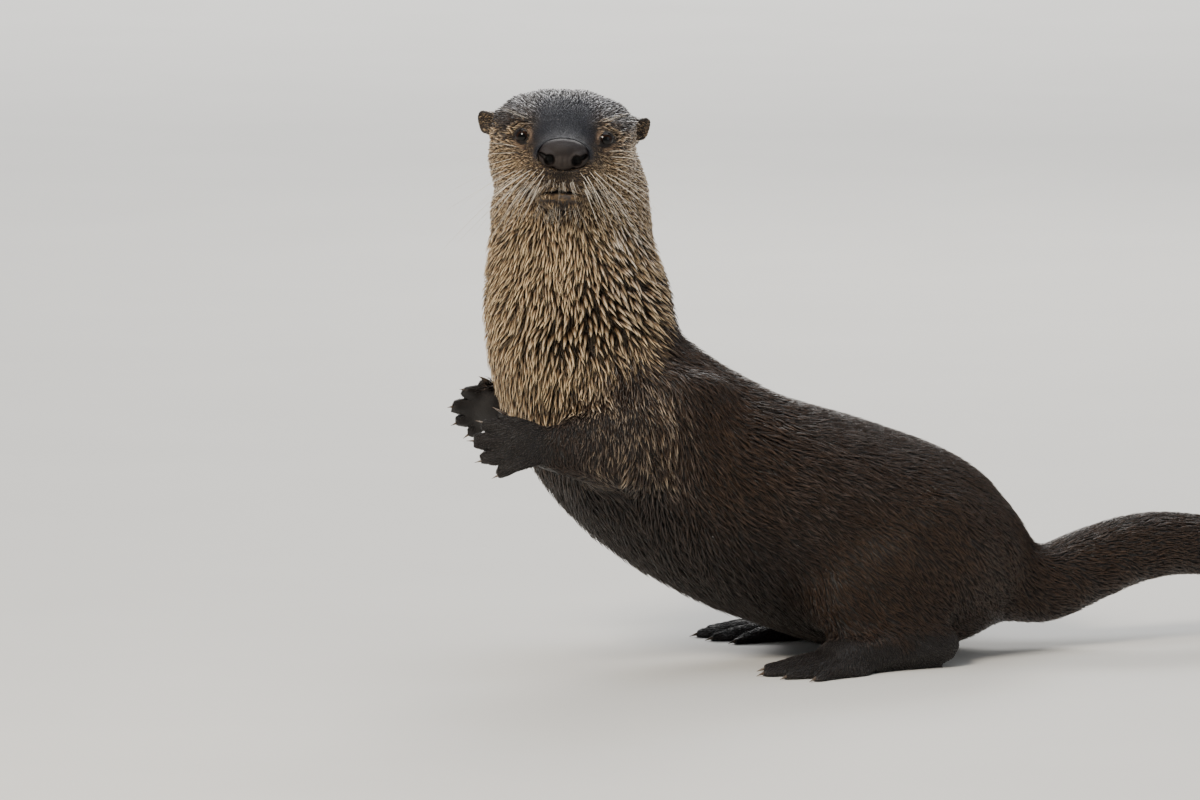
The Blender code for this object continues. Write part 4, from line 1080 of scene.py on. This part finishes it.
def strand(root, way, bend, length, thick):
    """The rings of one hair: out along its way, bending as it goes, and kept off the skin."""
    spine = []
    for k in range(STRAND_STEPS):
        t = k / (STRAND_STEPS - 1)
        spot = root + way * (length * t) + bend * (length * t * t)
        found, out, *_ = skin_tree.find_nearest(spot)
        if k and (spot - found).dot(out) < CLEAR * min(1, 3 * t):
            spot = found + out * CLEAR * min(1, 3 * t)
        if not spine or (spot - spine[-1]).length > LEAST_STEP:
            spine.append(spot)
    for _ in range(STRAND_ROUNDS):
        eased = [(a + b * 2 + c) / 4 for a, b, c in zip(spine, spine[1:], spine[2:])]
        spine = [spine[0]] + eased + [spine[-1]]
    last = len(spine) - 1
    side = (spine[1] - spine[0]).orthogonal()
    rings = []
    for k, spot in enumerate(spine):
        along = (spine[min(k + 1, last)] - spine[max(k - 1, 0)]).normalized()
        side = (side - along * side.dot(along)).normalized()
        other = side.cross(along)
        radius = thick * MM * (1 - STRAND_TAPER * k / last)
        angles = [math.tau * i / STRAND_SIDES for i in range(STRAND_SIDES)]
        rings.append([spot + (side * math.cos(a) + other * math.sin(a)) * radius for a in angles])
    return [[spine[0]]] + rings + [[spine[-1]]]


def strands(name, hairs, finish):
    """Hairs joined in one mesh: the root and the way of each in the head's frame, in mm."""
    toward = -(HEAD_TURN @ Vector((1, 0, 0)))
    shapes = []
    for aside_at, up_at, way, bend, length, thick in hairs:
        root = skin_tree.ray_cast(HEAD @ Vector((130 * MM, aside_at * MM, up_at * MM)), toward)[0]
        if root is not None:
            ahead_here, bend_here = (HEAD_TURN @ Vector(way)).normalized(), HEAD_TURN @ Vector(bend)
            shapes.append(strand(root, ahead_here, bend_here, length * MM, thick))
    made = placed(name, ring_mesh(name, shapes), finish)
    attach(made, "root")


horn_white = Finish("whisker_horn")
streak = horn_white.node("TexNoise", Scale=160.0, Detail=2.0)
whisker_colour = horn_white.mixed(streak, tone(196, 178, 150), tone(255, 252, 244))
whisker_finish = horn_white.done(Base_Color=whisker_colour, Roughness=0.32)
hairs, bristles = [], []
for side in (1, -1):
    for row in range(WHISKER_ROWS):
        for place in range(WHISKERS_IN_ROW):
            aside_at = 12.5 + 4.0 * place + 0.6 * row + rng.uniform(-1.3, 1.3)
            up_at = -21.5 - 3.5 * row - 0.14 * place ** 2 + rng.uniform(-0.9, 0.9)
            steep = 0.30 + 0.30 * row + 0.22 * (WHISKERS_IN_ROW - 1 - place) + rng.uniform(-0.2, 0.2)
            bend = (-0.30, side * 0.04, -0.14 + rng.uniform(-0.10, 0.08))
            length = (25 + 6.0 * place) * rng.uniform(0.6, 1.25)
            hairs.append((side * aside_at, up_at, (0.40, side, -steep), bend, length,
                          WHISKER_THICK * rng.uniform(0.55, 1.0)))
    for place in range(CHEEK_HAIRS):
        way = (0.15, side, 0.22 - 0.16 * place + rng.uniform(-0.08, 0.08))
        hairs.append((side * (29 + 1.5 * place), -10.0 - 3.6 * place, way, (-0.25, side * 0.1, -0.30),
                      rng.uniform(24, 42), LONG_THICK))
    for place in range(BROW_HAIRS):
        hairs.append((side * (24 + 3 * place), 8.0 + place, (0.4, side * 0.6, 0.30),
                      (-0.25, side * 0.1, -0.15), 12 + 3 * place, LONG_THICK))
for count, wide, heights, bow, (out_by, fan), (swing, droop), lengths in BRISTLES:
    for _ in range(count):
        aside_at = rng.uniform(-wide, wide)
        up_at = rng.uniform(*heights) - bow * aside_at ** 2
        bristles.append((aside_at, up_at, (out_by, aside_at * fan, -0.9), (-0.25, aside_at * swing, droop),
                         rng.uniform(*lengths), BRISTLE_THICK * rng.uniform(0.6, 1.1)))
strands("whiskers", hairs, whisker_finish)
strands("bristles", bristles, whisker_finish)


# ---------------------------------------------------------------- the claws
# Short dark curved claws, one let into the tip of each digit, with their points turned down.
CLAW_STEPS, CLAW_SIDES = 8, 10
CLAW_WIDE, CLAW_LONG, CLAW_HOOK, CLAW_INSIDE = 0.25, 1.25, 0.40, 0.7   # against the thickness of the digit
CLAW_LOW, CLAW_TAPER = 0.15, 1.6               # how far below the digit's middle, and how late it tapers
CLAW_HIGH, CLAW_LEAST = 1.25, 0.12 * MM        # how much taller than wide it is, and how wide near its point

horn = Finish("claw_horn")
aged = horn.node("TexNoise", Scale=30.0, Detail=3.0)
claw_colour = horn.mixed(aged, tone(34, 27, 25), tone(54, 44, 38))
claw_colour = horn.mixed(horn.mark("tip"), claw_colour, tone(92, 77, 63))
claw_finish = horn.done(Base_Color=claw_colour, Roughness=0.28)
for name in PAWS:
    place = paw_frame(name)
    shapes, tips = [], []
    for root, way, reach, thick in digits_of(name):
        start = root + way * (reach - thick * CLAW_INSIDE) - Vector((0, 0, thick * CLAW_LOW))
        across = way.cross(Vector((0, 0, 1)))
        span = thick * (CLAW_LONG + CLAW_INSIDE)
        rings = []
        for k in range(CLAW_STEPS):
            t = k / (CLAW_STEPS - 1)
            middle_here = start + way * (span * t) - Vector((0, 0, thick * CLAW_HOOK * t * t))
            wide = max(thick * CLAW_WIDE * (1 - t ** CLAW_TAPER), CLAW_LEAST)
            rings.append([middle_here + across * (wide * math.cos(math.tau * i / CLAW_SIDES))
                          + Vector((0, 0, wide * CLAW_HIGH * math.sin(math.tau * i / CLAW_SIDES)))
                          for i in range(CLAW_SIDES)])
        butt = rings[0][0].lerp(rings[0][CLAW_SIDES // 2], 0.5)
        point = start + way * span - Vector((0, 0, thick * CLAW_HOOK))
        shapes.append([[place @ spot for spot in ring] for ring in ([butt], *rings, [point])])
        tips += [0.0] + [k / (CLAW_STEPS - 1) for k in range(CLAW_STEPS) for _ in range(CLAW_SIDES)] + [1.0]
    mesh = ring_mesh("claws_" + name, shapes)
    keep(mesh, "tip", tips)
    claws = placed("claws_" + name, mesh, claw_finish)
    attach(claws, "root")
